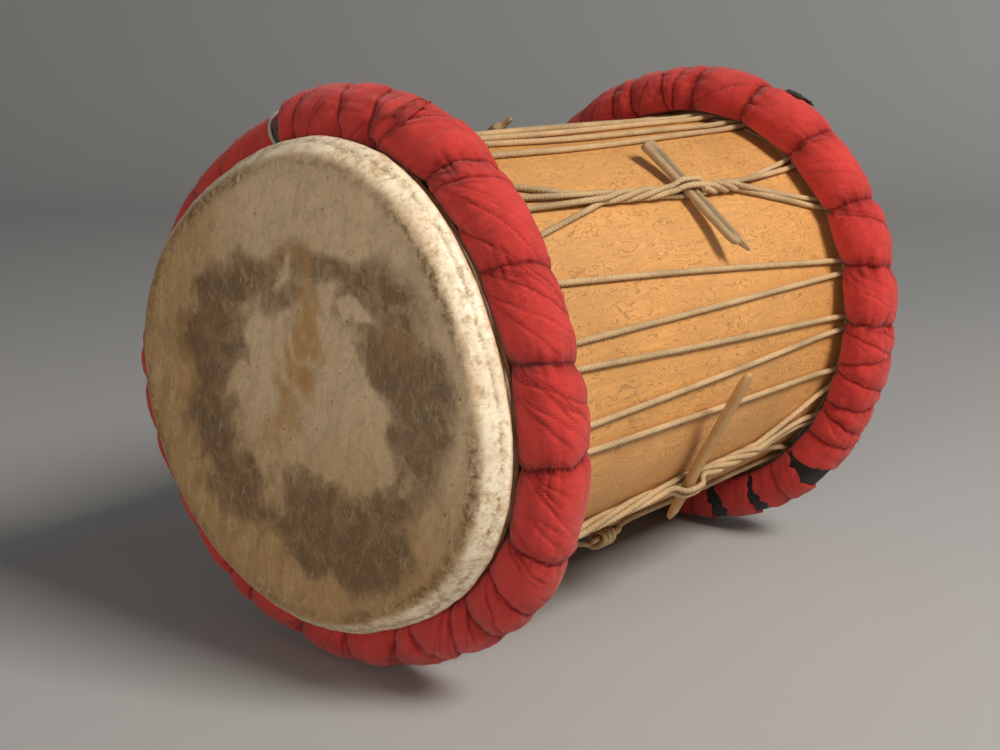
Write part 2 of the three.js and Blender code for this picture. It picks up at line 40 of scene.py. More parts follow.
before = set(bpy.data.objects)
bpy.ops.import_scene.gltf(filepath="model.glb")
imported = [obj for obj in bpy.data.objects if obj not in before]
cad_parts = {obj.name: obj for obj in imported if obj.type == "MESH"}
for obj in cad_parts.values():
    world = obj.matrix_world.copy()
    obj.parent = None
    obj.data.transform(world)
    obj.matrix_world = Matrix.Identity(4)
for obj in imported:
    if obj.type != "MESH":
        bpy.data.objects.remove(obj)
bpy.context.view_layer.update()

# Lengths are in millimetres, and add_piece turns them to metres. Angles are in degrees round the
# axis: 90 is the top, 180 the side seen in front view, 270 the floor
MILLIMETRE = 0.001
AXIS_SIDE, AXIS_HEIGHT = -2.478, 196.3
HALF_LENGTH = 254.3
SHELL_MIDDLE, SHELL_END = 154.0, 151.6
HIDE, ROPE, FIT = 1.8, 4.4, 0.3
COLLAR_PLACE, COLLAR_RING, COLLAR_TUBE, COLLAR_INNER = 208.0, 174.4, 22.4, 161.2
COLLAR_EDGE = COLLAR_PLACE - COLLAR_TUBE
SKIRT_END, HOLES = 46.0, 29.2
RUN_END = HALF_LENGTH - SKIRT_END
FLOOR_ANGLE, LEVEL_SPREAD = 270.0, 28.0

# How far the hand-made ends are from round: waves round the ring, cosine share, sine share
FRONT_OFF_ROUND = ((2, 0.01, 0.0), (3, 0.014, -0.013), (4, 0.0, 0.016))
BACK_OFF_ROUND = ((2, -0.006, -0.005), (3, 0.008, 0.0))

FRONT_TURNS = (100, 114, 127, 146, 168, 189, 210, 231)
BACK_TURNS = (96, 107, 128, 145.5, 164, 180.4, 197, 213, 231)
TURN_COUNT = 20

# Sticks, each with its bundle of four runs: first run, shares of half the length where the twist
# starts and stops and where the stick lies, lean, whether it is split, length, how far its middle is
# from the crossing, skew and width
Stick = namedtuple("Stick", "first start stop at lean split length offset skew width")
STICKS = [Stick(first, *(share * HALF_LENGTH for share in shares), *rest)
          for first, shares, *rest in (
              (3, (-0.263, 0.385, 0.118), 0, True, 109.0, 9.5, 8.4, 12),
              (12, (-0.582, 0.44, 0.047), -6, False, 148.0, -38.0, 7.7, 12),
              (34, (-0.409, 0.44, 0.106), 0, True, 102, -6, -8, 14),
              (20, (-0.393, 0.378, 0.039), 0, False, 118, 4, 10, 12),
              (28, (-0.354, 0.433, 0.079), 0, False, 124, -3, -9, 12))]
STICK_THICKNESS, STICK_GAP = 6.0, 0.45


# ---- Shared surface maths


def linear_colour(code):
    """sRGB hex digits as linear red, green, blue and alpha: a share below 0.04045 is divided by
    12.92, and any other is ((share + 0.055) / 1.055) to the power 2.4."""
    share = np.array([int(code[i:i + 2], 16) for i in (0, 2, 4)]) / 255
    linear = np.where(share <= 0.04045, share / 12.92, ((share + 0.055) / 1.055) ** 2.4)
    return (*linear.tolist(), 1.0)


def shade(colour, level):
    """The colour times a level, opaque."""
    return tuple(min(channel * level, 1) for channel in colour[:3]) + (1.0,)


def smooth(value):
    """Smooth step: value held between 0 and 1, then 3 v squared minus 2 v cubed."""
    share = np.clip(value, 0, 1)
    return share * share * (3 - 2 * share)


def bell(distance, width):
    """Gaussian: e to the power of minus the square of distance over width."""
    return np.exp(-(distance / width) ** 2)


def shell_radius(x):
    """Barrel line: middle radius less the swell times the square of the share of half the length."""
    return SHELL_MIDDLE - (SHELL_MIDDLE - SHELL_END) * (x / HALF_LENGTH) ** 2


def placed(x, angle, radius):
    """Points at a place along the axis, an angle and a radius. The radius is first grown by a sum of
    waves round the ring that fades at the floor and towards the middle of the drum."""
    x, angle, radius = np.broadcast_arrays(*(np.asarray(v, float) for v in (x, angle, radius)))
    turn = np.radians(angle)
    front, back = (sum(c * np.cos(n * turn) + s * np.sin(n * turn) for n, c, s in shares)
                   for shares in (FRONT_OFF_ROUND, BACK_OFF_ROUND))
    off_round = np.where(x < 0, front, back)
    from_floor = np.abs((angle - FLOOR_ANGLE + 540) % 360 - 180)
    off_round = off_round * (1 - bell(from_floor, LEVEL_SPREAD)) * smooth(np.abs(x) / COLLAR_EDGE)
    carved = radius * (1 + off_round)
    return np.stack([x, carved * np.cos(turn) + AXIS_SIDE, carved * np.sin(turn) + AXIS_HEIGHT], -1)


def flat(first, second=0.0):
    """Places on a plane for a noise: two coordinates and a third of nought."""
    return np.stack([first, second + first * 0, first * 0], -1)


HASH_PRIMES = (374761393, 668265263, 974634777, 7919, 1274126177)


def lattice_noise(points, cell, seed=0):
    """Value noise from -1 to 1: each corner of a lattice of that cell size has a fixed share from an
    integer hash, and a point takes the smooth blend of the eight corners round it."""
    scaled = np.asarray(points, float) / cell
    base = np.floor(scaled).astype(np.int64)
    blend = smooth(scaled - base)
    total = np.zeros(scaled.shape[:-1])
    for corner in product((0, 1), repeat=3):
        hashed = (base + np.array(corner)) @ np.array(HASH_PRIMES[:3]) + seed * HASH_PRIMES[3]
        hashed = ((hashed ^ (hashed >> 13)) * HASH_PRIMES[4]) & 0x7FFFFFFF
        hashed = (hashed ^ (hashed >> 15)) & 0xFFFF
        total += np.prod(np.where(corner, blend, 1 - blend), axis=-1) * hashed
    return total / 32767.5 - 1


def layered_noise(points, cell, seed=0, layers=3):
    """Sum of value noises, each at half the cell and half the height of the one before."""
    return sum(lattice_noise(points, cell / 2 ** k, seed + k) / 2 ** k for k in range(layers))


def grid(rows, columns, rows_close=False, columns_close=False):
    """Quads of a grid of points, row after row, and the unwrapped row and column of each corner."""
    row = np.arange(rows if rows_close else rows - 1)
    column = np.arange(columns if columns_close else columns - 1)
    r, c = (v.reshape(-1, 1) for v in np.meshgrid(row, column, indexing="ij"))
    rr, cc = r + np.array([0, 0, 1, 1]), c + np.array([0, 1, 1, 0])
    return (rr % rows) * columns + cc % columns, rr, cc


def add_piece(name, points, faces, material, slot, node=None, body="drum", surface=(), marks=None,
              flip=False):
    """Makes one mesh piece from points in millimetres and faces given as arrays of corners, with a UV
    map from one array of corner places for each array of faces and a point attribute for each mark.
    It rides on its body and stands for its node if it has one. Its finish is the material; its slot is
    not used."""
    mesh = bpy.data.meshes.new(name)
    order = slice(None, None, -1 if flip else 1)
    faces = [np.asarray(f)[:, order] for f in faces]
    corners = np.concatenate([f.ravel() for f in faces])
    sizes = np.concatenate([np.full(len(f), f.shape[1]) for f in faces])
    mesh.vertices.add(len(points))
    mesh.vertices.foreach_set("co", (np.asarray(points) * MILLIMETRE).astype(np.float32).ravel())
    mesh.loops.add(len(corners))
    mesh.loops.foreach_set("vertex_index", corners.astype(np.int32))
    mesh.polygons.add(len(sizes))
    starts = np.concatenate([[0], np.cumsum(sizes)[:-1]])
    mesh.polygons.foreach_set("loop_start", starts.astype(np.int32))
    mesh.update(calc_edges=True)
    if surface:
        places = np.concatenate([s[:, order].reshape(-1, 2) for s in surface])
        layer = mesh.uv_layers.new(name="Surface")
        layer.data.foreach_set("uv", places.astype(np.float32).ravel())
    for label, values in (marks or {}).items():
        attribute = mesh.attributes.new(label, "FLOAT", "POINT")
        attribute.data.foreach_set("value", np.asarray(values, np.float32).ravel())
    mesh.validate()
    mesh.shade_smooth()
    mesh.materials.append(material)
    piece = bpy.data.objects.new(name, mesh)
    bpy.context.scene.collection.objects.link(piece)
    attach(piece, body)
    if node:
        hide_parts(node)
    return piece


def add_rings(name, rings, *finish, along=None, girth=1.0, ends=None, marks=None,
              end_mark=lambda ring: 0.0, **settings):
    """Makes a piece from closed rings of points, shut at each end by a fan round a middle point. Its
    map is the length along, one value for each ring, and the share round times the girth. The marks
    are one value for each point of the rings, and end_mark gives a middle point's from its ring."""
    rows, columns = rings.shape[:2]
    quads, row, column = grid(rows, columns, columns_close=True)
    here, end = np.arange(columns), (rows - 1) * columns
    after = (here + 1) % columns
    first, last = here * 0 + rows * columns, here * 0 + rows * columns + 1
    closing = np.concatenate([np.stack([first, after, here], -1),
                              np.stack([last, end + here, end + after], -1)])
    if ends is None:
        ends = [rings[0].mean(0), rings[-1].mean(0)]
    if along is not None:
        settings["surface"] = [np.stack([along[row], column / columns * girth], -1),
                               np.zeros((len(closing), 3, 2))]
    marks = {label: np.append(mark.ravel(), [end_mark(mark[0]), end_mark(mark[-1])])
             for label, mark in (marks or {}).items()}
    return add_piece(name, np.concatenate([rings.reshape(-1, 3), ends]), [quads, closing], *finish,
                     marks=marks, **settings)


def add_cord(name, path, radius, sides, *finish):
    """Cord along a path: centre plus radius times (cosine of the turn times the sideways direction
    plus its sine times the outward one). Outward is the radial direction made square to the path."""
    along = np.gradient(path, axis=0)
    along /= np.linalg.norm(along, axis=1, keepdims=True)
    outward = path - np.array([0, AXIS_SIDE, AXIS_HEIGHT])
    outward[:, 0] = 0
    outward -= np.sum(outward * along, axis=1, keepdims=True) * along
    outward /= np.linalg.norm(outward, axis=1, keepdims=True)
    sideways = np.cross(along, outward)
    travelled = np.append(0, np.cumsum(np.linalg.norm(np.diff(path, axis=0), axis=1)))
    turn = 2 * pi * np.arange(sides)[:, None] / sides
    rings = path[:, None] + radius * (np.cos(turn) * sideways[:, None] + np.sin(turn) * outward[:, None])
    return add_rings(name, rings, *finish, along=travelled, ends=path[[0, -1]], flip=True)


def curved(points, step):
    """Points along a Catmull-Rom curve through the given ones, as far apart as step: each is the
    cubic of its four neighbours, weighed by the share of the way between the middle two."""
    points = np.asarray(points, float)
    length = np.linalg.norm(np.diff(points, axis=0), axis=1)
    count = np.maximum(np.ceil(length / step).astype(int), 1)
    segment = np.repeat(np.arange(len(count)), count)
    whole = np.repeat(count, count)
    share = (np.arange(len(segment)) - np.repeat(np.cumsum(count) - count, count)) / whole
    padded = np.concatenate([[2 * points[0] - points[1]], points, [2 * points[-1] - points[-2]]])
    a, b, c, d = (padded[segment + k] for k in range(4))
    t = share[:, None]
    curve = (2 * b + (c - a) * t + (2 * a - 5 * b + 4 * c - d) * t ** 2
             + (3 * b - a - 3 * c + d) * t ** 3) / 2
    return np.concatenate([curve, points[-1:]])


def add_node(tree, kind, inputs=None, output=0, stops=(), **settings):
    """Adds a shader node with its settings, its ramp stops and its inputs, each a value or another
    node's output, and returns the output asked for."""
    node = tree.nodes.new("ShaderNode" + kind)
    for key, value in settings.items():
        setattr(node, key, value)
    for key, value in (inputs or {}).items():
        if isinstance(value, bpy.types.NodeSocket):
            tree.links.new(value, node.inputs[key])
        else:
            node.inputs[key].default_value = value
    for i, (place, colour) in enumerate(stops):
        spot = node.color_ramp.elements[i] if i < 2 else node.color_ramp.elements.new(place)
        spot.position, spot.color = place, colour
    return node.outputs[output] if node.outputs else None


def new_material(name):
    """An empty material, and add_node for its tree."""
    material = bpy.data.materials.new(name)
    material.use_nodes = True
    material.node_tree.nodes.clear()
    return material, partial(add_node, material.node_tree)


def finished(material, add, colour, relief=None, **sockets):
    """Joins a material's colour, its relief of height, strength and distance in metres, and what else
    its shader is told to the output."""
    inputs = {"Base Color": colour} | {key.replace("_", " "): value for key, value in sockets.items()}
    if relief:
        inputs["Normal"] = add("Bump", dict(zip(("Height", "Strength", "Distance"), relief)))
    add("OutputMaterial", {"Surface": add("BsdfPrincipled", inputs)})
    return material


# ---- Settings


def colour_setting(name, code, description):
    return FloatVectorProperty(name=name, description=description, default=linear_colour(code),
                               size=4, min=0, max=1, subtype="COLOR")


def length_setting(name, description, default, low, high):
    return FloatProperty(name=name, description=description, default=default, min=low, max=high,
                         unit="LENGTH", precision=5)


def power_setting(name, description, default):
    return FloatProperty(name=name, description=description, default=default, min=0, unit="POWER")


class DrumColours(bpy.types.PropertyGroup):
    """Colours of the finishes."""
    honey: colour_setting("Honey Wood", "D99F5C", "Oiled, carved shell wood in plain light")
    bark: colour_setting("Dark Wood", "8A552B", "Pores and tool marks of the shell")
    hide: colour_setting("Rawhide", "E0C39C", "Scraped, sun-bleached skin of the heads")
    # Also the colour of painted shade in the valley behind each rim and on the skirt
    smudge: colour_setting("Hand Smudge", "6B5132", "Dirt of hands in the middle of a head")
    amber: colour_setting("Amber Streak", "B48A52", "Thicker, see-through part of the skin")
    # Also the colour of painted shade low down and to the left on a face and behind the rim
    tan: colour_setting("Browned Hide", "AE864F", "Skin browned by hands and sun")
    rim: colour_setting("Rim Cream", "FBEDD0", "Polished skin over the flesh hoop")
    red: colour_setting("Red Cotton", "D2413B", "Strips of red cotton cloth")
    # Painted shade: the red given to the cloth in its folds, slits and tight places
    deep_red: colour_setting("Red in Folds", "7A1210", "Red cotton deep in its folds")
    black: colour_setting("Black Cotton", "2B2826", "Under-wrap of faded black cotton")
    cord: colour_setting("Cotton Cord", "CBAC80", "Twisted lacing cord")
    # Painted shade between the cord's strands
    cord_shade: colour_setting("Cord Grooves", "8F7350", "Lacing cord between its strands")
    grey_cord: colour_setting("Grey Cord", "C9C5BA", "Cord tied round the front collar")
    weathered: colour_setting("Weathered Stick", "B2966F", "Split, weathered tensioning stick")
    pale: colour_setting("Pale Stick", "CFA066", "Smooth tensioning stick")
    straw: colour_setting("Straw", "B79A5B", "Bound straw inside a collar")
    cane: colour_setting("Cane", "B98F55", "Cane hoop inside a head")


class DrumShape(bpy.types.PropertyGroup):
    """Sizes of the fine forms."""
    twist_radius: length_setting("Twist Radius", "Radius at which twisted strands run",
                                 0.003, 0.002, 0.004)
    rope_lay: length_setting("Rope Lay", "Length of one full turn of the rope's strands",
                             0.011, 0.005, 0.03)
    rope_sides: IntProperty(name="Rope Sides", description="Faces round the rope",
                            default=8, min=6, max=12)
    cloth_step: length_setting("Cloth Step", "Distance between points on the cloth",
                               0.0013, 0.001, 0.005)
    fold_depth: length_setting("Fold Depth", "Depth of the fine folds in the cloth",
                               0.0011, 0, 0.003)
    settling_steps: IntProperty(name="Settling Steps", description="Steps of the cloth simulation",
                                default=18, min=1, max=60)
    carve_depth: length_setting("Carve Depth", "Depth of the tool facets on the shell",
                                0.00035, 0, 0.001)
    hide_ripple: length_setting("Hide Ripple", "Unevenness of the rawhide over its hoop",
                                0.0006, 0, 0.002)


class DrumStudio(bpy.types.PropertyGroup):
    """Floor, backdrop, lamps and camera."""
    floor: colour_setting("Floor", "AFB0B1", "Plain paper floor")
    key_power: power_setting("Key Power", "Power of the large soft lamp", 65)
    fill_power: power_setting("Fill Power", "Power of the weak lamp on the left", 23)
    backdrop_power: power_setting("Backdrop Power", "Power of the lamp on the backdrop", 15)
    world_level: FloatProperty(name="World Level", description="Strength of the even light all round",
                               default=0.1, min=0)
    lens: FloatProperty(name="Lens", description="Focal length on a 36 mm sensor", default=55.52,
                        min=10, max=200, unit="CAMERA")


# ---- Materials

# Inputs of the commonest nodes, in the order in which the materials give them. Scales are in cells
# per metre on Object coordinates, so that 230 gives marks 4 mm apart, and per millimetre on a map
RANGE = ("Value", "From Min", "From Max", "To Min", "To Max")
NOISE = ("Vector", "Scale", "Detail", "Roughness", "Distortion")
MIX, COLOUR_MIX = (0, 6, 7), {"output": 2, "data_type": "RGBA"}


def honey_hardwood(colours):
    """Hardwood, carved, oiled and rubbed by hands: a honey ground with axial grain 4 mm wide, dark
    pores 2 mm long in browner patches, and curved scratches where a noise passes its middle. The
    real scratches are 0.3 mm wide, and are drawn near 1 mm so that they show."""
    material, add = new_material("honey_hardwood")
    place = add("TexCoord", output="Object")
    grain, curl, pore, zone = (
        add("TexNoise", dict(zip(NOISE, (add("Mapping", {"Vector": place, "Scale": scale}), 1.0, *row))))
        for scale, *row in (((16, 230, 230), 7.0, 0.68, 0.7), ((60, 115, 115), 3.0, 0.55, 1.8),
                            ((480, 1500, 1500), 2.0, 0.5, 0.4), ((14, 14, 14), 3.0, 0.5, 0.0)))
    off = add("Math", {0: curl, 1: 0.5}, operation="SUBTRACT")
    off = add("Math", {0: off}, operation="ABSOLUTE")
    patch, line, kept, pinned, gloss = (add("MapRange", dict(zip(RANGE, row))) for row in (
        (zone, 0.4, 0.66, 0.0, 1.0), (off, 0.0, 0.028, 0.85, 0.0), (grain, 0.44, 0.54, 0.0, 1.0),
        (pore, 0.62, 0.76, 0.0, 0.75), (grain, 0.0, 1.0, 0.62, 0.46)))
    line, tooled, browner = (add("Math", {0: a, 1: b}, operation="MULTIPLY")
                             for a, b in ((line, kept), (pinned, patch), (patch, 0.35)))
    colour = add("ValToRGB", {"Fac": grain}, stops=[
        (0.25, shade(colours.honey, 0.74)), (0.75, shade(colours.honey, 1.14)), (0.5, colours.honey)])
    for share, over in ((browner, shade(colours.honey, 0.7)), (line, shade(colours.honey, 0.42)),
                        (tooled, colours.bark)):
        colour = add("Mix", dict(zip(MIX, (share, colour, over))), **COLOUR_MIX)
    height = add("Math", {0: grain, 1: line}, operation="SUBTRACT")
    return finished(material, add, colour, (height, 0.6, 0.0006), Roughness=gloss, IOR=1.5)


def scraped_rawhide(colours):
    """Rawhide, scraped and dried hard: dull beige with mottled clouds 20 mm wide and fine specks,
    browner and darker low down and to the left on each face and behind the rim, partly painted shade,
    soiled where hands play and darker in the valley behind the rim and on the skirt, partly painted
    shade, with an amber streak, a polished cream rim with brown stains, pores 10 mm apart and hair-fine
    scratches, drawn 1 mm wide so that they show. Five point attributes carry the large marks: hand
    soil with painted shade behind the rim, browning with painted shade, amber, polish and grime."""
    material, add = new_material("scraped_rawhide")
    place = add("TexCoord", output="Object")
    soiled, tanned, amber, polished, grimy = (
        add("Attribute", output="Fac", attribute_name=label)
        for label in ("soiled", "tanned", "amber", "polished", "grimy"))
    cloud, streak, speck, pale, other, dark = (
        add("TexNoise", dict(zip(NOISE, (add("Mapping", {
            "Vector": place, "Rotation": (turn, 0.0, 0.0), "Scale": tuple(1 / cells for cells in scale),
        }, vector_type="TEXTURE"), 1.0, *row))))
        for scale, turn, *row in (
            ((52, 52, 52), 0.0, 10.0, 0.72, 0.9), ((40, 110, 38), 0.2, 8.0, 0.7, 0.9),
            ((210, 210, 210), 0.0, 8.0, 0.75, 0.4), ((50, 900, 60), 0.25, 2.0, 0.5, 1.6),
            ((50, 800, 55), -0.7, 2.0, 0.5, 1.8), ((50, 900, 90), 1.1, 2.0, 0.5, 1.8)))
    drawn = soiled
    for noise, weight in ((streak, 1.2), (cloud, 2.4), (speck, 0.5)):
        drawn = add("Math", {0: noise, 1: weight, 2: drawn}, operation="MULTIPLY_ADD")
    uneven = add("Math", {0: cloud, 1: speck}, operation="ADD")
    worn = add("Math", {0: speck, 1: -0.5, 2: polished}, operation="MULTIPLY_ADD")
    pore = add("TexVoronoi", {"Vector": place, "Scale": 95.0}, output="Distance")
    (mottle, streaky, soil, washed, thick, stain, crumbs, pale, other, dark, dots, rough) = (
        add("MapRange", dict(zip(RANGE, row))) for row in (
            (cloud, 0.38, 0.62, 0.0, 1.0), (streak, 0.3, 0.6, 0.45, 1.0), (drawn, 2.05, 3.0, 0.0, 0.9),
            (streak, 0.5, 0.68, 0.0, 0.38), (streak, 0.35, 0.6, 0.6, 1.0),
            (uneven, 0.96, 1.2, 0.0, 0.8), (speck, 0.42, 0.58, 0.05, 0.95),
            (pale, 0.64, 0.7, 0.0, 0.42), (other, 0.65, 0.71, 0.0, 0.42), (dark, 0.66, 0.72, 0.0, 0.5),
            (pore, 0.05, 0.12, 0.8, 0.0), (worn, -0.3, 0.7, 0.58, 0.26)))
    tanned, amber, grimy, dots = (
        add("Math", {0: a, 1: b}, operation="MULTIPLY")
        for a, b in ((tanned, streaky), (amber, thick), (grimy, crumbs), (dots, mottle)))
    stained = add("Mix", dict(zip(MIX, (stain, colours.rim, colours.tan))), **COLOUR_MIX)
    colour = shade(colours.hide, 0.76)
    # The browning layer is partly painted shade, low down, to the left and behind the rim; the smudge
    # layer is partly painted shade in the valley behind the rim and on the skirt
    for share, over in (
            (mottle, shade(colours.hide, 1.1)), (tanned, colours.tan), (soil, colours.smudge),
            (washed, shade(colours.hide, 0.66)), (amber, colours.amber), (polished, stained),
            (grimy, shade(colours.tan, 0.45)), (pale, shade(colours.rim, 0.72)),
            (other, shade(colours.rim, 0.72)), (dark, shade(colours.smudge, 0.7)),
            (dots, shade(colours.smudge, 0.5))):
        colour = add("Mix", dict(zip(MIX, (share, colour, over))), **COLOUR_MIX)
    scratched = add("Math", {0: pale, 1: dark}, operation="SUBTRACT")
    relief = add("Math", {0: uneven, 1: scratched}, operation="ADD")
    return finished(material, add, colour, (relief, 0.45, 0.0008), Roughness=rough, IOR=1.47)


def cotton_cloth(name, colour, recess_shade, weave_share):
    """Plain-woven cotton, washed soft: a matte ground with slubs 6 mm long. One point attribute mixes in
    the given darker colour: painted shade in folds, slits and hollows, and the real darker colour of
    long frayed threads. Another makes it paler: a painted highlight beside lap edges and on crests,
    and paler wear on frayed threads. The real threads are 0.4 mm apart, and the thread grid is drawn
    1.1 mm apart so that it shows."""
    material, add = new_material(name)
    place = add("TexCoord", output="Object")
    cut = place.node.outputs["UV"]
    fold, rubbed = (add("Attribute", output="Fac", attribute_name=label) for label in ("fold", "rubbed"))
    across, down = (add("TexWave", {"Vector": cut, "Scale": 0.29, "Distortion": 0.6}, output="Fac",
                        bands_direction=direction) for direction in "XY")
    slub = add("Mapping", {"Vector": cut, "Rotation": (0.0, 0.0, 0.25), "Scale": (1.1, 0.16, 1.0)})
    wash, lint = (add("TexNoise", dict(zip(NOISE, row)))
                  for row in ((place, 60.0, 5.0, 0.65), (slub, 1.0, 5.0, 0.7)))
    weave, woven = (add("Math", {0: a, 1: b}, operation="ADD")
                    for a, b in ((across, down), (wash, lint)))
    tone = add("MapRange", dict(zip(RANGE, (woven, 0.7, 1.3))))
    # Paler by a share of the second attribute: a painted highlight on the collars, and wear on frayed
    # threads
    highlight_and_wear_share, rough = (add("Math", {0: a, 1: b}, operation="MULTIPLY")
                    for a, b in ((rubbed, 0.55), (weave, weave_share)))
    ground = shade(colour, 0.74)
    # The darker colour is painted shade in folds, slits and hollows and the paler one a painted
    # highlight; on frayed threads they are the threads' real darker colour and paler wear
    for share, over in ((tone, shade(colour, 1.14)), (highlight_and_wear_share, shade(colour, 1.5)), (fold, recess_shade)):
        ground = add("Mix", dict(zip(MIX, (share, ground, over))), **COLOUR_MIX)
    relief = add("Math", {0: rough, 1: woven}, operation="ADD")
    return finished(material, add, ground, (relief, 0.7, 0.0011), Roughness=0.95, Sheen_Weight=0.18,
                    Sheen_Roughness=0.5, Specular_IOR_Level=0.2)


def laid_cord(name, colour, groove, lay):
    """Three-strand twisted cotton cord: the strand marks run aslant once a third of the lay, from the
    piece's own map of millimetres along and share round, the grooves between strands are darker with
    painted shade, and the fibres are 1.4 mm long. Soil comes in patches 40 mm long."""
    material, add = new_material(name)
    place = add("TexCoord", output="Object")
    along = add("SeparateXYZ", {"Vector": place.node.outputs["UV"]}, output="X")
    turned = add("Math", {0: along, 1: 3 / (lay / MILLIMETRE)}, operation="MULTIPLY")
    swing = add("Math", {0: along.node.outputs["Y"], 1: 3.0, 2: turned}, operation="MULTIPLY_ADD")
    swing = add("Math", {0: swing, 1: pi}, operation="MULTIPLY")
    sine = add("Math", {0: swing}, operation="SINE")
    strand = add("Math", {0: sine}, operation="ABSOLUTE")
    fibre, soil = (add("TexNoise", dict(zip(NOISE, (place, scale, 3.0)))) for scale in (700.0, 24.0))
    dusty, relief = (add("Math", {0: fibre, 1: share, 2: more}, operation="MULTIPLY_ADD")
                     for share, more in ((0.8, soil), (0.9, strand)))
    tone, aged = (add("MapRange", dict(zip(RANGE, row)))
                  for row in ((strand, 0.0, 0.45, 0.5), (dusty, 0.72, 1.1)))
    ground = add("Mix", dict(zip(MIX, (aged, shade(colour, 1.08), shade(colour, 0.66)))), **COLOUR_MIX)
    # Painted shade in the grooves between the strands
    laid = add("Mix", dict(zip(MIX, (tone, groove, ground))), **COLOUR_MIX)
    return finished(material, add, laid, (relief, 0.55, 0.0005), Roughness=0.85)


def stick_wood(name, colour, dark, roughness):
    """Split or whittled stick: fibres 4 mm long and 0.1 mm wide along the piece's own map, short
    stains 14 mm apart, and painted shade in its channel and the dent of its end, where its point
    attribute says."""
    material, add = new_material(name)
    place = add("TexCoord", output="Object")
    channel_shade = add("Attribute", output="Fac", attribute_name="fold")
    lengthwise = add("Mapping", {"Vector": place.node.outputs["UV"], "Scale": (0.03, 1.4, 1.0)})
    fibre = add("TexNoise", dict(zip(NOISE, (lengthwise, 9.0, 5.0, 0.6))))
    stain = add("TexNoise", dict(zip(NOISE, (place, 70.0, 4.0))))
    stained = add("MapRange", dict(zip(RANGE, (stain, 0.52, 0.75, 0.0, 0.6))))
    ground = add("ValToRGB", {"Fac": fibre},
                 stops=[(0.3, dark), (0.7, shade(colour, 1.15)), (0.5, colour)])
    # Painted shade in the channel and the dent of the end, darker than the stains
    for share, over in ((stained, dark), (channel_shade, shade(dark, 0.5))):
        ground = add("Mix", dict(zip(MIX, (share, ground, over))), **COLOUR_MIX)
    return finished(material, add, ground, (fibre, 0.6, 0.0006), Roughness=roughness)


def bound_fibre(name, colour, scale):
    """Straw or cane: matte stalks in two tones from a stretched noise, 1.4 to 2.5 mm by 11 to 17."""
    material, add = new_material(name)
    mapped = add("Mapping", {"Vector": add("TexCoord", output="Object"), "Scale": scale})
    stalk = add("TexNoise", dict(zip(NOISE, (mapped, 1.0, 4.0))))
    tone = add("ValToRGB", {"Fac": stalk},
               stops=[(0.35, shade(colour, 0.5)), (0.65, shade(colour, 1.15))])
    return finished(material, add, tone, (stalk, 0.8, 0.001), Roughness=0.8)


def paper_floor(colour):
    """Matte backdrop paper with the faintest unevenness of tone, 0.7 m across."""
    material, add = new_material("backdrop_paper")
    tone = add("TexNoise", dict(zip(NOISE, (add("TexCoord", output="Object"), 1.5, 2.0))))
    ground = add("Mix", dict(zip(MIX, (tone, shade(colour, 0.97), shade(colour, 1.03)))), **COLOUR_MIX)
    return finished(material, add, ground, Roughness=0.9)


# ---- Shell

SHELL_ROWS, SHELL_SIDES = 170, 300


def shell_points(carve_depth):
    """Rings of the shell. Outside, the radius is the barrel line plus shallow tool facets: a
    stretched noise folded at zero, so that facets meet in soft ridges, and broad waves. Both fade out
    under the collars. The ends are rounded, and the inside is plain."""
    end = HALF_LENGTH - HIDE - FIT
    angle = np.arange(SHELL_SIDES) * 360 / SHELL_SIDES
    xx, aa = np.meshgrid(np.linspace(4 - end, end - 4, SHELL_ROWS), angle, indexing="ij")
    radius = shell_radius(xx)
    plain = placed(xx, aa, radius)
    facets = np.abs(lattice_noise(plain * np.array([0.35, 1, 1]), 9.0, 3)) - 0.5
    waves = layered_noise(plain * np.array([0.3, 1, 1]), 30.0, 5, 2)
    hidden = smooth((np.abs(xx) - 200) / 12)
    outside = placed(xx, aa, radius + carve_depth * (facets + 0.8 * waves) * (1 - hidden))
    rim = shell_radius(end)
    profile = ((end - 1.2, rim - 1.2), (end, rim - 4), (end, rim - 11), (end - 6, rim - 14))
    right, left = (np.stack([placed(side * x, angle, r) for x, r in profile]) for side in (1, -1))
    return np.concatenate([outside, right, left[::-1]])


class DRUM_OT_shell(bpy.types.Operator):
    """Adds the carved shell, closed from its outside over both rims to its inside"""
    bl_idname = "drum.shell"
    bl_label = "Carved Shell"

    def execute(self, context):
        rings = shell_points(context.scene.drum_shape.carve_depth / MILLIMETRE)
        quads = grid(*rings.shape[:2], rows_close=True, columns_close=True)[0]
        add_piece("carved_shell", rings.reshape(-1, 3), [quads],
                  honey_hardwood(context.scene.drum_colours), "shell_wood", "shell")
        return {"FINISHED"}


# ---- Heads

# Section of a head from its middle over the rim and ridge to the end of its skirt: setback, radius
HEAD_LINE = (
    (0.0, 147.0), (0.15, 150.3), (0.9, 153.2), (2.6, 155.8), (5.6, 158.6), (9.0, 161.0), (12.3, 162.9),
    (15.0, 164.2), (17.3, 164.7), (19.8, 164.2), (22.2, 162.4), (23.9, 160.0), (24.9, 158.7),
    (26.2, 159.0), (27.8, 160.4), (29.3, 160.9), (31.0, 160.0), (34.0, 157.6), (38.0, 154.5),
    (42.0, 154.2), (46.0, 154.1), (46.2, 153.4), (45.8, 152.6), (38.0, 152.7), (12.0, 152.2),
    (3.4, 151.0), (2.3, 147.0))
FACE_RINGS, UNDER_RINGS, HEAD_SIDES, EDGE_SIDES = 60, 14, 360, 720

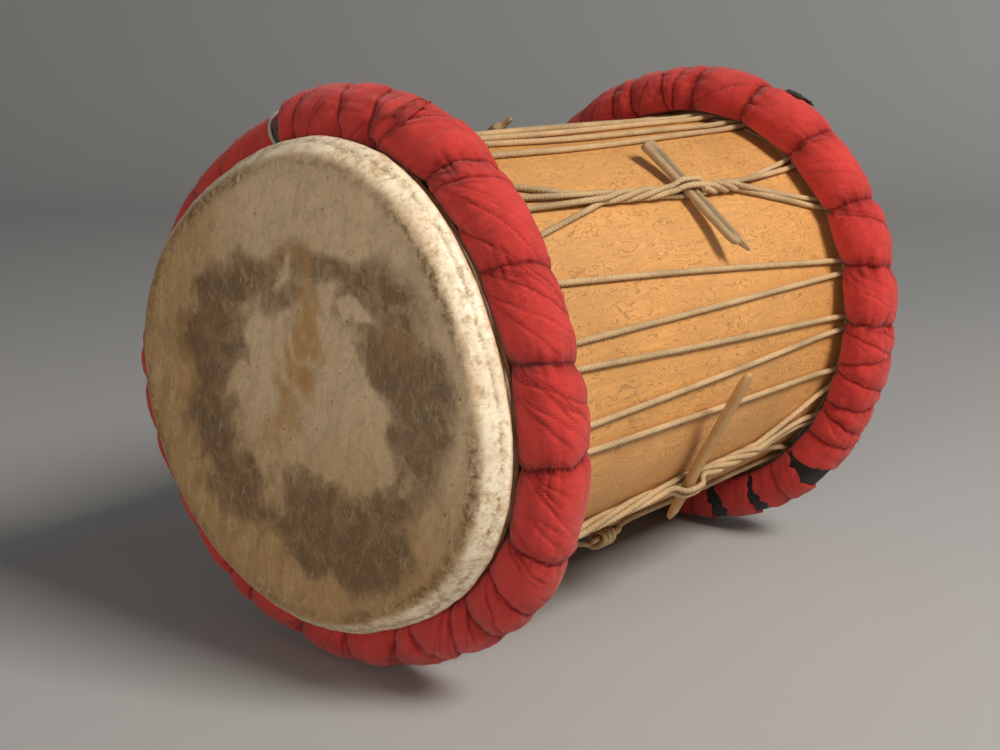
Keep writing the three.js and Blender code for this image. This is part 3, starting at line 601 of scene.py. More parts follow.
# Large marks on the played head, seen on its face: y and z from its middle, half sizes, turn, weight
SOIL_SPOTS = (
    (41, 66, 44, 20, 0, 0.9), (80, 26, 34, 44, 0, 1.1), (87, -44, 25, 20, 0, 1.0),
    (56, -78, 36, 19, 15, 1.0), (-44, -84, 72, 36, 4, 1.1), (-103, -6, 32, 56, 0, 1.1),
    (-71, 68, 36, 24, 0, 0.9), (-16, 86, 42, 13, 0, 0.8), (-40, -110, 40, 19, 0, 0.9),
    (-88, 34, 30, 24, 20, 0.8), (92, -10, 18, 40, 0, 0.7))
CLEAR_SPOTS = (
    (-16, -8, 62, 44, 0, 0.75), (28, 34, 24, 18, 0, 0.75), (-53, 63, 13, 10, 0, 1.1),
    (66, 0, 12, 9, 0, 0.7), (-62, -34, 20, 17, 0, 0.9), (23, -80, 12, 12, 0, 0.7),
    (15, 80, 8, 9, 0, 0.8), (-120, -82, 14, 22, 0, 0.6), (-96, -40, 5, 12, 10, 0.8))
AMBER_SPOTS = (
    (-17, 74, 9, 14, -22, 0.7), (-10, 48, 10, 20, -22, 1.0), (0, 20, 11, 22, -28, 1.0),
    (11, -8, 11, 20, -32, 1.0), (22, -30, 10, 15, -32, 0.7), (110, 10, 10, 40, 0, 0.4),
    (2, 86, 22, 9, 0, 0.5), (-96, 40, 16, 10, 0, 0.4))


def spots(across, up, table, seed):
    """Sum of soft ovals: each is 1 inside and falls off smoothly where the turned, scaled distance
    from its middle, made uneven by noise, passes 1."""
    shift = [layered_noise(flat(across, up), 26.0, seed + k, 4) * 11 for k in range(2)]
    total = np.zeros_like(across)
    for y, z, wide, tall, turn, weight in table:
        c, s = np.cos(np.radians(turn)), np.sin(np.radians(turn))
        dy, dz = across + shift[0] - y, up + shift[1] - z
        distance = np.hypot((c * dy + s * dz) / wide, (c * dz - s * dy) / tall)
        total += weight * smooth(1.45 - distance)
    return total


def head_surface(side, ripple):
    """Rings of a head: a flat face, the section line carried round, and the face's inside. Radius and
    setback are made uneven by noise where the skin is stretched over its hoop, with a crease near its
    rim and puckers at its skirt. Returns points and marks."""
    line = curved(np.array([(s, r, 0.0) for s, r in HEAD_LINE]), 1.1)[:, :2]
    face = [(0.0, r) for r in np.linspace(2.0, 145.0, FACE_RINGS)]
    under = [(HEAD_LINE[-1][0], r) for r in np.linspace(140.0, 2.0, UNDER_RINGS)]
    setback, radius = np.concatenate([face, line, under]).T
    ss, aa = np.meshgrid(setback, np.arange(HEAD_SIDES) * 360 / HEAD_SIDES, indexing="ij")
    rr = radius[:, None] + aa * 0
    plain = placed(side * (HALF_LENGTH - ss), aa, rr)

    def noise(cell, seed, layers=1):
        return layered_noise(plain, cell, seed, layers)

    loose = smooth(ss / 6) * smooth((44 - ss) / 8)
    uneven = noise(22.0, 11 + side, 3) + 0.5 * noise(6.0, 17, 2)
    puckers = lattice_noise(flat(ss * 0.2, aa * 2.8), 6.0, 23)
    crease = bell(ss - (11.0 + 1.3 * noise(40.0, 83, 2)), 1.5)
    grown = rr + ripple * loose * (uneven + 0.5 * puckers * smooth((ss - 20) / 6))
    grown -= crease * (0.75 + 0.5 * noise(25.0, 89))
    dished = 0.35 * (1 - smooth(rr / 150)) + 0.1 * noise(60.0, 29, 2) * (rr < 150)
    points = placed(side * (HALF_LENGTH - ss - np.maximum(dished, 0)), aa, grown)
    across, up = points[..., 1] - AXIS_SIDE, points[..., 2] - AXIS_HEIGHT
    turned = -across if side > 0 else across
    soil, clear, amber = (spots(turned, up, table, seed + side) for table, seed in (
        (SOIL_SPOTS, 41), (CLEAR_SPOTS, 47), (AMBER_SPOTS, 61)))
    soil = (1 - np.exp(-1.3 * np.maximum(soil - clear, 0))) / 0.85
    edge = smooth((rr - 132) / 20)
    patchy = 0.5 + 0.5 * noise(9.0, 53)
    shoulder = bell(rr - 150.5, 4.5) * (ss < 6) * (0.65 + 0.5 * noise(26.0, 97, 2))
    # Darker and browner towards the bottom and the left of the face as seen from outside, partly painted
    # shade
    low = smooth((20 - up) / 130) + 0.9 * smooth((turned - 30) / 80)
    marks = {
        # Hand soil, and painted shade in the valley behind the rim and on the skirt
        "soiled": (np.clip(soil, 0, 1) * (1 - edge) + bell(ss - 22.8, 1.6) * patchy
                   + 0.5 * smooth((ss - 25) / 4)),
        # Browning, and painted shade low down, to the left and behind the rim
        "tanned": np.clip(low, 0, 1) * (1 - smooth(ss / 4)) + smooth((ss - 19) / 4),
        "amber": np.clip(amber, 0, 1) * (1 - edge),
        "polished": (smooth((ss - 0.4) / 4) * smooth((22 - ss) / 5)
                     * np.clip(0.85 + 0.4 * noise(14.0, 67, 3), 0, 1)),
        "grimy": np.clip(1.2 * shoulder, 0, 1) + crease * patchy * 0.9,
    }
    return points, marks


def raw_edge(side):
    """Rings of a thin wavy sheet behind the rim: its height above the neck and its lean are noises
    of the angle."""
    share = np.array([0.0, 0.35, 0.7, 1.0, 1.0, 0.7, 0.35, 0.0])
    back = np.array([0.0, 0.0, 0.0, 0.0, 0.5, 0.7, 0.8, 0.8])
    tt, aa = np.meshgrid(share, np.arange(EDGE_SIDES) * 360 / EDGE_SIDES, indexing="ij")
    lifted = 1.7 + 1.9 * lattice_noise(flat(aa), 9.0, 71 + side) + 0.5 * lattice_noise(flat(aa), 2.5, 73)
    setback = 24.6 + back[:, None] + 0.45 * lattice_noise(flat(aa, tt), 5.0, 79) * tt + 0.9 * tt
    return placed(side * (HALF_LENGTH - setback), aa, 158.2 + np.clip(lifted, 0.2, 3.6) * tt)


class DRUM_OT_heads(bpy.types.Operator):
    """Adds both rawhide heads and the raw edge of skin that stands up behind each rim"""
    bl_idname = "drum.heads"
    bl_label = "Rawhide Heads"

    def execute(self, context):
        material = scraped_rawhide(context.scene.drum_colours)
        for side, end in ((-1, "front"), (1, "back")):
            rings, marks = head_surface(side, context.scene.drum_shape.hide_ripple / MILLIMETRE)
            add_rings(f"{end}_rawhide_head", rings, material, "rawhide", f"{end}_head", marks=marks,
                      end_mark=np.mean, flip=side > 0)
            rings = raw_edge(side)
            quads = grid(*rings.shape[:2], rows_close=True, columns_close=True)[0]
            add_piece(f"{end}_raw_edge", rings.reshape(-1, 3), [quads], material, "rawhide",
                      marks={"polished": np.full(rings[..., 0].size, 0.9)}, flip=side > 0)
        return {"FINISHED"}


# ---- Collars

# Red strips and black under-wraps from angle to angle, numbered as their nodes are
FRONT_RED = ((77.3, 125), (125, 167), (167, 226), (226, 329), (329, 432.8))
BACK_RED = ((110.5, 180), (180, 222), (227, 240), (244, 252), (257, 331), (331, 403), (403, 470.5))
FRONT_BLACK = ((71, 80),)
BACK_BLACK = ((220, 229), (238, 246), (250, 259))
UNDERLAP = 2

# Angles between which no thread stands on the red cloth, because black shows there
FRONT_BARE = ((72, 77.6),)
BACK_BARE = ((220, 229), (238.5, 246), (250, 259))

# Ends of red strips where black shows: uneven and slanted, with the slope of each
GAP_EDGES = {222: -3.0, 227: 2.5, 240: -1.5, 244: 2.5, 252: -3.0, 257: 1.5}

# Lines where the cloth is drawn in: angle, slope in degrees per 100 of section, depth and reach in
# mm, height in mm of the strip that laps on after the line, or before it where negative
FRONT_LINES = (
    (76.8, 0, 1.6, 3, 0), (83.5, 3, 1.4, 4, 0.6), (95.5, -2, 1.9, 5, 0.9), (104, -2, 3.2, 7, -0.7),
    (112, 8, 1.8, 4, 1.8), (125, 5, 3.8, 6, 1.0), (129, 6, 1.4, 4, 0.6), (144.5, 15, 1.7, 4, 1.1),
    (147.5, 3, 3.6, 6, 0), (151, 10, 1.5, 5, 1.2), (167, 1, 4.6, 6, 0), (171.5, 5, 1.1, 4, 0.8),
    (187, -2.5, 4.6, 5, -0.7), (205, 0.5, 3.0, 6, 0.7), (216.5, 3, 2.0, 5, 0.8), (226, 2, 3.2, 6, 0),
    (234, 8, 2.2, 5, 1.0), (243, -3, 2.2, 5, 0), (252, 6, 2.4, 6, 0.7), (265, 0, 2.0, 6, 0),
    (281, 5, 3.0, 6, 0.8), (296, -4, 1.8, 5, 0), (305, 3, 2.8, 6, 0.8), (318, 6, 2.0, 5, 0),
    (329, -2, 3.4, 6, 0.6), (341, 4, 2.6, 6, 0), (353, 2, 3.0, 6, 0), (361, -5, 1.0, 5, 0),
    (377, 3, 1.2, 6, 0), (389, 5, 0.9, 5, 0.5), (401, -2, 1.2, 6, 0), (414, 4, 0.9, 5, 0.5),
    (90, 7, 0.5, 3, 1.3), (108, 15, 0.5, 3, 1.5), (133, 16, 0.5, 3, 1.5), (156, 9, 0.5, 3, 1.4),
    (176, 8, 0.5, 3, 1.3), (193, 10, 0.5, 3, 1.3), (221, 9, 0.5, 3, 1.3), (238, 12, 0.4, 3, 1.2),
    (273, 10, 0.5, 3, 1.2), (289, 12, 0.4, 3, 1.1), (335, 10, 0.4, 3, 1.1), (347, 12, 0.4, 3, 1.0),
    (369, 9, 0.4, 3, 0.7))
BACK_LINES = (
    (67.5, 2, 2.4, 5, 0.7), (73.5, 0, 2.6, 5, 0), (83.5, -2, 2.2, 5, 0.7), (88, 2, 2.0, 4, 0),
    (94, 1, 3.6, 4, 0.8), (104, 18, 1.4, 4, 1.2), (110.5, 1, 4.4, 6, 0.9), (129.5, 2, 4.6, 5, 0.7),
    (148.5, 1, 4.6, 6, 0), (152, 6, 1.3, 4, 0.9), (165, 2, 4.6, 6, 0.6), (180, 0.5, 4.0, 6, 0.7),
    (184.5, 4, 1.4, 4, 0.6), (190, -3, 1.8, 4, 0), (195.5, 2, 2.2, 4, 0.6), (203, -2, 2.8, 5, 0),
    (208, 2, 2.4, 5, 0.7), (214, -2, 2.0, 4, 0), (234, 2, 1.6, 4, 0), (263, 2, 2.0, 5, 0),
    (272, -3, 2.2, 5, 0), (283, 2, 3.0, 6, 0.8), (295, 4, 1.8, 5, 0), (307, 0, 3.0, 6, 0.8),
    (319, -4, 1.8, 5, 0), (331, 2, 3.6, 6, 0), (343, 3, 1.8, 5, 0.7), (355, -2, 3.0, 6, 0),
    (367, 4, 2.0, 5, 0.7), (379, 0, 3.0, 6, 0), (391, 3, 2.0, 5, 0.6), (403, -2, 3.6, 6, 0),
    (415, 2, 2.0, 5, 0), (79, 6, 0.5, 3, 1.0), (140, 8, 0.3, 3, 0.8), (172, 8, 0.3, 3, 0.9),
    (187, 9, 0.4, 3, 0.9), (211, 9, 0.4, 3, 0.9), (267, 9, 0.4, 3, 1.0), (301, 9, 0.4, 3, 1.0),
    (325, 8, 0.4, 3, 1.0), (349, 10, 0.4, 3, 1.0), (397, 9, 0.4, 3, 1.0), (421, 8, 0.4, 3, 0.9))

# Frayed cut edges: line angle, from and to round the section, threads
FRONT_FRAYS = (
    (76.8, -120, 60, 140), (112, -90, 30, 120), (125, -110, 40, 80), (144.5, -100, 40, 60),
    (187, -120, 10, 180), (205, -100, 0, 40), (234, -100, 0, 60), (151, -80, 20, 50),
    (83.5, -60, 40, 60), (95.5, -60, 40, 60))
BACK_FRAYS = (
    (94, -150, -30, 180), (104, -110, -40, 180), (110.5, -120, 20, 270), (129.5, -110, 30, 330),
    (148.5, -100, 10, 120), (165, -100, 20, 120), (180, -110, 0, 90), (152, -70, 20, 120),
    (208, -110, -20, 60), (203, -120, -20, 60), (88, -100, -40, 60), (73.5, -100, -40, 60))
NAP_THREADS, THREAD_RADIUS = 2600, 0.19

# Cloth simulation: points round the drum and the section, how much smaller its tube starts, how much
# longer its cut is, how far a point may move
SLEEVE, QUICK_SLEEVE = (360, 42), (180, 24)
SLEEVE_SLACK, CUT_SPARE, SHIFT_LIMIT = 0.6, 0.15, 5
LOWEST, LOWEST_BLACK, LOWEST_THREAD = 0.05, 0.4, 0.1

# Side, name, lines, red strips, black strips, frayed edges, bare angles, how far the black is sunk
COLLARS = (
    (-1, "front", FRONT_LINES, FRONT_RED, FRONT_BLACK, FRONT_FRAYS, FRONT_BARE, 1.8),
    (1, "back", BACK_LINES, BACK_RED, BACK_BLACK, BACK_FRAYS, BACK_BARE, 3.0))

# Loose torn ends of strips: name, node, end of the drum, angle, width, from and to round the section,
# lift in mm and seed
TORN_ENDS = (("back_black_cotton_flap", "back_black_flap", 1, 116.0, 4.4, -4, 54, 4.5, 7),
             ("front_red_torn_end", None, -1, 109.0, 4.0, -62, -14, 1.5, 11))


def fans(lines, seed, share):
    """Sharp folds that spread from the tight places: up to three leave each deep line on the near
    side of the tube, at slopes and over lengths from a seeded table of numbers."""
    chance = np.random.default_rng(seed)
    spread = []
    for angle, slope, depth, _, _ in lines:
        for place in (3.0, 7.5, 12.0)[:round((3 if depth >= 3 else 0.6) * share)]:
            start = chance.uniform(-115, -85)
            away = slope + place + chance.uniform(-1.5, 3)
            turned = angle + (slope - away) * (start + 60) / 100 + chance.normal(0, 0.5)
            spread.append((turned, away, chance.uniform(0.9, 1.9) * share, chance.uniform(1.3, 2.2),
                           chance.choice([0, 1.0]) * share, start, start + chance.uniform(50, 130)))
    return spread


def drawn_in(angle, section, lines, seed):
    """What the ties take from the tube's radius, the tightness near them, the height of laps, how firmly
    the cloth is held, and for each line the painted shade of its slit and the painted highlight just
    past the edge of its lap: exponentials and Gaussians of the distance in mm past the line, whose
    angle shifts with the section by its slope."""
    around, rise = np.radians(angle % 360) * COLLAR_RING, np.radians(section) * COLLAR_TUBE
    zero = np.zeros_like(around)
    wobble = lattice_noise(flat(around, rise), 9.0, seed) * 1.1
    wobble = wobble + 0.35 * lattice_noise(flat(around, rise), 3.0, seed + 9)
    pinch, near, lap, slit_shade, rubbed = (zero for _ in range(5))
    tied = smooth((np.abs(section) - 116) / 14)
    for i, line in enumerate([*lines, *fans(lines, seed, 1.0 if seed < 100 else 0.4)]):
        depth, reach, height = line[2:5]
        past = (angle - line[0] - line[1] * (section + 60) / 100 + 180) % 360 - 180
        gap = np.radians(past) * COLLAR_RING + wobble
        if np.abs(gap).min() > 40:
            continue
        chance = np.random.default_rng(seed + i)
        uneven = 1 + 0.4 * np.interp(section, np.linspace(-180, 180, 25), chance.uniform(-1, 1, 25))
        present = smooth(0.75 + uneven - 1 + 0.5 * (depth > 1))
        is_fan = len(line) > 5
        if is_fan:
            present = 0.8 * smooth((section - line[5] + 12) / 12) * smooth((line[6] - section) / 35)
            uneven = uneven * present
        pinch = np.maximum(pinch, depth * uneven * np.exp(-np.abs(gap) / reach))
        if not is_fan:
            near = np.maximum(near, depth / 4.5 * np.exp(-np.abs(gap) / 12))
            tied = np.maximum(tied, min(depth / 2.5, 1) * bell(gap, 3.2))
        after = gap * (np.sign(height) or 1)
        step = abs(height) * smooth(after / 0.9) * np.exp(-np.maximum(after, 0) / 14) * present
        lap = np.maximum(lap, step)
        # Painted shade in the slit at the line, and a painted highlight just past the edge of the lap
        slit_shade = np.maximum(slit_shade, present * (0.45 + depth / 6) * bell(after + 0.3, 0.9))
        rubbed = np.maximum(rubbed, present * min(abs(height), 1) * bell(after - 1.3, 1.0))
    return pinch, near, lap, tied, slit_shade, rubbed


def collar_form(side, angle, section, radius):
    """Ring of tube sections pressed flat towards the shell. On the front collar's far side the tube
    is thinner above and the ring wider below, each by a smooth step of the angle."""
    away = (angle + 90) % 360 - 90
    thin = (side < 0) * 6.3 * smooth((away + 4) / 24) * smooth((78 - away) / 6)
    swell = (side < 0) * 6.5 * smooth((away + 78) / 20) * smooth((9 - away) / 12)
    turn, size = np.radians(section), radius - thin
    out, inner = size * np.cos(turn), COLLAR_INNER - COLLAR_RING - swell
    out = np.where(out < inner, inner + 0.15 * (out - inner), out)
    points = placed(side * COLLAR_PLACE + size * np.sin(turn), angle, COLLAR_RING + swell + out)
    points[..., 2] = np.maximum(points[..., 2], LOWEST)
    return points


def settled_cloth(side, lines, seed, steps):
    """Cloth simulation of one collar. A sleeve with a point every 3 to 4 mm is held at its ties and
    along its inside, its cut is a seventh longer round the drum than the ring, and a slight pressure
    stands for the straw. Returns how far each point moved, in mm, held to 5 mm."""
    rows, columns = SLEEVE
    angle, section = np.meshgrid(np.arange(rows) * 360 / rows, np.arange(columns) * 360 / columns - 180,
                                 indexing="ij")
    pinch, _, _, tied, _, _ = drawn_in(angle, section, lines, seed)
    start = collar_form(side, angle, section, COLLAR_TUBE - SLEEVE_SLACK - pinch)
    longer = 1 + CUT_SPARE
    stretched = start * np.array([1.0, longer, longer]) - np.array([0, 0, CUT_SPARE * AXIS_HEIGHT])
    mesh = bpy.data.meshes.new("cloth_sleeve")
    quads = grid(rows, columns, rows_close=True, columns_close=True)[0]
    mesh.from_pydata((start.reshape(-1, 3) * MILLIMETRE).tolist(), [], quads.tolist())
    sleeve = bpy.data.objects.new("cloth_sleeve", mesh)
    bpy.context.scene.collection.objects.link(sleeve)
    group = sleeve.vertex_groups.new(name="tied")
    level = np.round(tied.ravel() * 5).astype(int)
    for share in range(1, 6):
        group.add(np.flatnonzero(level == share).tolist(), share / 5, "REPLACE")
    sleeve.shape_key_add(name="Basis")
    cut = sleeve.shape_key_add(name="Cut")
    cut.data.foreach_set("co", (stretched * MILLIMETRE).ravel())
    cloth = sleeve.modifiers.new("cloth", "CLOTH")
    for key, value in {
            "rest_shape_key": cut, "vertex_group_mass": "tied", "pin_stiffness": 1.0, "quality": 4,
            "mass": 0.2, "bending_stiffness": 0.06, "air_damping": 4.0, "use_pressure": True,
            "uniform_pressure_force": 0.9}.items():
        setattr(cloth.settings, key, value)
    cloth.settings.effector_weights.gravity = 0
    cloth.collision_settings.use_collision = False
    cloth.point_cache.frame_start, cloth.point_cache.frame_end = 1, steps
    for step in range(1, steps + 1):
        bpy.context.scene.frame_set(step)
    settled = sleeve.evaluated_get(bpy.context.evaluated_depsgraph_get()).data
    moved = np.empty(len(settled.vertices) * 3, np.float32)
    settled.vertices.foreach_get("co", moved)
    bpy.context.scene.frame_set(1)
    bpy.data.objects.remove(sleeve)
    bpy.data.meshes.remove(mesh)
    shift = moved.reshape(rows, columns, 3) / MILLIMETRE - start
    far = np.linalg.norm(shift, axis=-1, keepdims=True)
    return shift * (SHIFT_LIMIT * np.tanh(far / SHIFT_LIMIT) / np.maximum(far, 1e-6))


def between(field, row, column):
    """Value of a grid that closes both ways at places between its points: the Catmull-Rom weights of
    the four nearest rows times those of the four nearest columns."""
    def weights(t):
        return (-t + 2 * t ** 2 - t ** 3, 2 - 5 * t ** 2 + 3 * t ** 3, t + 4 * t ** 2 - 3 * t ** 3,
                -t ** 2 + t ** 3)

    r, c = np.floor(row).astype(int), np.floor(column).astype(int)
    down, across = weights(row - r), weights(column - c)
    return sum((down[i] * across[j] / 4)[..., None]
               * field[(r + i - 1) % field.shape[0], (c + j - 1) % field.shape[1]]
               for i, j in product(range(4), repeat=2))


def collar_surface(side, angle, section, lines, fold_depth, seed, settled):
    """Points of a wound collar. The tube's radius loses the pinch of the ties and sharp slanting
    folds, a ridged noise of the distance round the drum less a share of that round the section, and
    gathers that run out from the ties; it gains laps, broad lumps and fluff. The settled cloth's
    shift is added. Returns points, marks from 0 to 1 for painted shade where the cloth is pinched,
    folded, sunk or slit and for a painted highlight beside lap edges and where it bulges out, and
    outward directions."""
    around, rise = np.radians(angle) * COLLAR_RING, np.radians(section) * COLLAR_TUBE
    lattice, slanted = flat(around, rise), flat(around - 0.45 * rise, rise * 0.13)

    def noise(cell, step, places=lattice):
        return lattice_noise(places, cell, seed + step)

    pinch, near, lap, _, slit_shade, rubbed = drawn_in(angle, section, lines, seed)
    gather = 1 - np.abs(noise(6.5, 2, lattice * np.array([0.22, 1.0, 1.0])))
    ridge = 1 - np.abs(noise(8.5, 3, slanted))
    fine = 1 - np.abs(noise(3.6, 4, slanted * np.array([1.0, 2.5, 1.0])))
    spread = smooth(0.5 + 0.9 * noise(30.0, 5))
    folds = fold_depth * (spread * ridge ** 9 * 0.9 + (0.1 + near) * fine ** 6 * 0.7
                          + 1.7 * near * gather ** 4)
    lumps, fluff = 0.9 * noise(26.0, 6) + 0.3 * noise(8.0, 7), 0.08 * noise(2.1, 8)
    points = collar_form(side, angle, section, COLLAR_TUBE + 0.2 - pinch - folds + lap + lumps + fluff)
    shift = between(settled, angle % 360 / 360 * settled.shape[0],
                    (section + 180) / 360 * settled.shape[1])
    outward = points - placed(side * COLLAR_PLACE, angle, COLLAR_RING)
    outward /= np.linalg.norm(outward, axis=-1, keepdims=True)
    sunk = -np.sum(shift * outward, axis=-1)
    points = points + shift
    points[..., 2] = np.maximum(points[..., 2], LOWEST)
    # Painted shade where the cloth is pinched, folded, sunk in or slit
    recess_shade = pinch / 6 * 0.7 + folds / (3 * fold_depth + 1e-6) * 0.55 + sunk * 0.1 + slit_shade
    # Painted highlight just past lap edges, in patches, and where the cloth bulges out
    crest_highlight = rubbed * smooth(0.6 + 0.8 * noise(3.0, 11)) + np.maximum(-sunk, 0) * 0.1
    return points, {"fold": np.clip(recess_shade, 0, 1), "rubbed": np.clip(crest_highlight, 0, 1)}, outward


def strip_grid(start, stop, step, slopes):
    """Angles round the drum and round the section for a strip whose two ends slant by their slopes,
    and run unevenly where they border a gap in the red cloth."""
    rows = max(int((stop - start) * pi / 180 * (COLLAR_RING + COLLAR_TUBE) / step), 4)
    columns = int(2 * pi * COLLAR_TUBE / step)
    share, section = np.meshgrid(np.linspace(0, 1, rows), np.arange(columns) * 360 / columns - 180,
                                 indexing="ij")
    first, last = (
        edge + slope * (section + 60) / 100 + (edge in GAP_EDGES) * np.interp(
            section, np.linspace(-180, 180, 31), np.random.default_rng(int(edge)).uniform(-1, 1, 31))
        for edge, slope in zip((start, stop), slopes))
    return first + (last - first) * share, section


def fibres(starts, push, bend, radius, steps=5):
    """Many short threads: each starts at a point and goes on by its push, bent by the square of the
    share of its length. Each ring is a triangle that shrinks to the tip."""
    share = np.linspace(0, 1, steps)[None, :, None]
    path = starts[:, None] + push[:, None] * share + bend[:, None] * share ** 2
    turn = 2 * pi * np.arange(3) / 3
    corner = np.stack([np.cos(turn), np.sin(turn), 0.3 * np.cos(turn)], -1)
    facing = np.sign(push @ np.array([-0.3, 0, 1]))[:, None, None, None]
    corner = corner * np.where(np.arange(3) == 1, facing, 1)
    points = path[:, :, None] + radius * (1 - 0.7 * share)[..., None] * corner
    quads = grid(steps, 3, columns_close=True)[0]
    offset = np.arange(len(starts))[:, None, None] * steps * 3
    closing = np.array([[2, 1, 0], [steps * 3 - 3, steps * 3 - 2, steps * 3 - 1]])
    return points.reshape(-1, 3), [(quads + offset).reshape(-1, 4), (closing + offset).reshape(-1, 3)]


class DRUM_OT_collars(bpy.types.Operator):
    """Adds the red strips wound round both collars, the black under-wrap and the frayed threads"""
    bl_idname = "drum.collars"
    bl_label = "Cloth Collars"

    def execute(self, context):
        colours, shape = context.scene.drum_colours, context.scene.drum_shape
        # The second colour of each cloth is painted shade for its folds, slits and hollows
        red = cotton_cloth("red_cotton", colours.red, colours.deep_red, 0.08)
        black = cotton_cloth("black_cotton", colours.black, shade(colours.black, 0.4), 0.3)
        step = shape.cloth_step / MILLIMETRE * 1
        depth = shape.fold_depth / MILLIMETRE
        for side, end, lines, red_strips, black_strips, frays, bare, sunk in COLLARS:
            seed = 100 + 10 * side
            settled = settled_cloth(side, lines, seed, shape.settling_steps)
            slopes = {line[0] % 360: line[1] for line in lines} | (GAP_EDGES if side > 0 else {})
            for i, (start, stop) in enumerate(red_strips, 1):
                tilt = (slopes.get(start % 360, 0), slopes.get(stop % 360, 0))
                angle, section = strip_grid(start, stop, step, tilt)
                points, marks, _ = collar_surface(side, angle, section, lines, depth, seed, settled)
                self.add_strip(f"{end}_red", i, points, marks, angle, red, "red_cloth")
            for i, (start, stop) in enumerate(black_strips, 1):
                angle, section = strip_grid(start - UNDERLAP, stop + UNDERLAP, step, (0, 0))
                points, marks, outward = collar_surface(side, angle, section, (), depth, seed + 5,
                                                        settled * 0)
                points -= sunk * outward
                points[..., 2] = np.maximum(points[..., 2], LOWEST_BLACK)
                self.add_strip(f"{end}_black", i, points, marks, angle, black, "black_cloth")
            self.add_frays(end, lines, frays, bare, seed, red,
                           partial(collar_surface, side, lines=lines, fold_depth=depth, seed=seed,
                                   settled=settled))
        for name, node, *torn in TORN_ENDS:
            self.add_torn_end(name, node, black if node else red, *torn)
        return {"FINISHED"}

    def add_strip(self, name, number, points, marks, angle, material, slot):
        """Maps a strip in millimetres round the drum and its section."""
        piece = add_rings(f"{name}_cotton_{number}", points, material, slot, f"{name}_wrap_{number}",
                          along=np.radians(angle[:, 0]) * COLLAR_RING, girth=2 * pi * COLLAR_TUBE,
                          marks=marks, flip=True)

    def add_frays(self, end, lines, frays, bare, seed, material, surface):
        """Threads along the cut edges and a short nap all over, at places and in directions from a
        seeded table of numbers."""
        chance = np.random.default_rng(seed)
        slopes = {line[0]: line[1] for line in lines}
        section = np.concatenate([chance.uniform(a, b, n) for _, a, b, n in frays])
        angle, slope = np.concatenate([[[at, slopes[at]]] * n for at, _, _, n in frays]).T
        angle = angle + slope * (section + 60) / 100 + chance.normal(0, 0.35, len(angle))
        length = np.append(chance.uniform(1.2, 4.2, len(angle)), chance.uniform(0.9, 2.2, NAP_THREADS))
        angle = np.append(angle, chance.uniform(40, 290, NAP_THREADS))
        section = np.append(section, chance.uniform(-130, 80, NAP_THREADS))
        shown = ~np.any([(angle > start + 0.5) & (angle < stop - 0.5) for start, stop in bare], axis=0)
        angle, section, length = angle[shown], section[shown], length[shown, None]
        points, _, outward = surface(angle, section)
        around = np.stack([angle * 0, -np.sin(np.radians(angle)), np.cos(np.radians(angle))], -1)
        swing = chance.normal(0, 0.7, (len(angle), 3))
        push = length * (0.3 * outward + 0.7 * chance.normal(0, 1, (len(angle), 1)) * around
                         + 0.3 * swing)
        points, faces = fibres(points - 0.3 * outward, push, length * 0.5 * swing, THREAD_RADIUS)
        points[:, 2] = np.maximum(points[:, 2], LOWEST_THREAD)
        dark = chance.uniform(0, 0.8, len(angle)) * (length[:, 0] > 2.2)
        add_piece(f"{end}_frayed_threads", points, faces, material, "red_cloth",
                  surface=[np.zeros((*f.shape, 2)) for f in faces],
                  marks={"fold": np.repeat(dark, len(points) // len(dark)),
                         "rubbed": np.full(len(points), 0.7)})

    def add_torn_end(self, name, node, material, side, angle, width, start, stop, lift, seed):
        """Loose end of a strip: a rumpled oblong sheet, its far end lifted by the cube of the share of
        its reach, its far edges made ragged by noise."""
        share, across = np.meshgrid(np.linspace(0, 1, 44), np.linspace(0, 1, 16), indexing="ij")
        lattice = flat(share * (stop - start) * 0.4, across * 24)
        ragged = 0.13 * layered_noise(lattice, 2.4, seed + 1, 3) * smooth((share - 0.4) / 0.6)
        turn = np.radians(start + (stop - start) * (share + ragged))
        taper = 0.5 + (across - 0.5) * (1 - 0.35 * share)
        places = angle + width * (taper + 0.05 * lattice_noise(lattice, 4.0, seed + 2)) + 1.5 * share
        rumple = layered_noise(lattice, 7.0, seed, 2)
        raised = COLLAR_TUBE + 1.2 + lift * share ** 3 + 0.8 * rumple + 0.8 * across ** 3
        top, bottom = (placed(side * COLLAR_PLACE + (raised + extra) * np.sin(turn), places,
                              COLLAR_RING + (raised + extra) * np.cos(turn)) for extra in (0.0, 0.8))
        # Painted shade in the hollows of the rumple
        hollow_shade = np.clip(0.5 - 0.5 * rumple, 0, 1)
        add_rings(name, np.concatenate([top, bottom[:, ::-1]], axis=1), material,
                  "black_cloth" if node else "red_cloth", node, along=np.arange(len(share)) * 2.0,
                  girth=1.8 * 2 * share.shape[1], flip=True,
                  marks={"fold": np.concatenate([hollow_shade, hollow_shade[:, ::-1]], axis=1)})


# ---- Lacing

KNOT_RUN, KNOT_PLACE, KNOT_LENGTH = 16, -26.0, 15.0
KNOT_HEIGHT = 0.9 + ROPE + ROPE / 2
HALF_ROPE, TUCK, TWIST_SPREAD = FIT + ROPE / 2, 7.0, 0.9

# Where the rope starts to rise over the skirt, how long it rises, and how long it falls behind it
RISE_START, RISE, FALL = 33.1, 3.6, 8

# Along the rope from a stick: end of the twist, where the lift starts, two points of the eye; then
# the twist's degrees on each side
EYE, LIFT_REACH, EYE_SHOULDER, EYE_EDGE, TWIST = 24, 20, 17.0, 9.5, 270


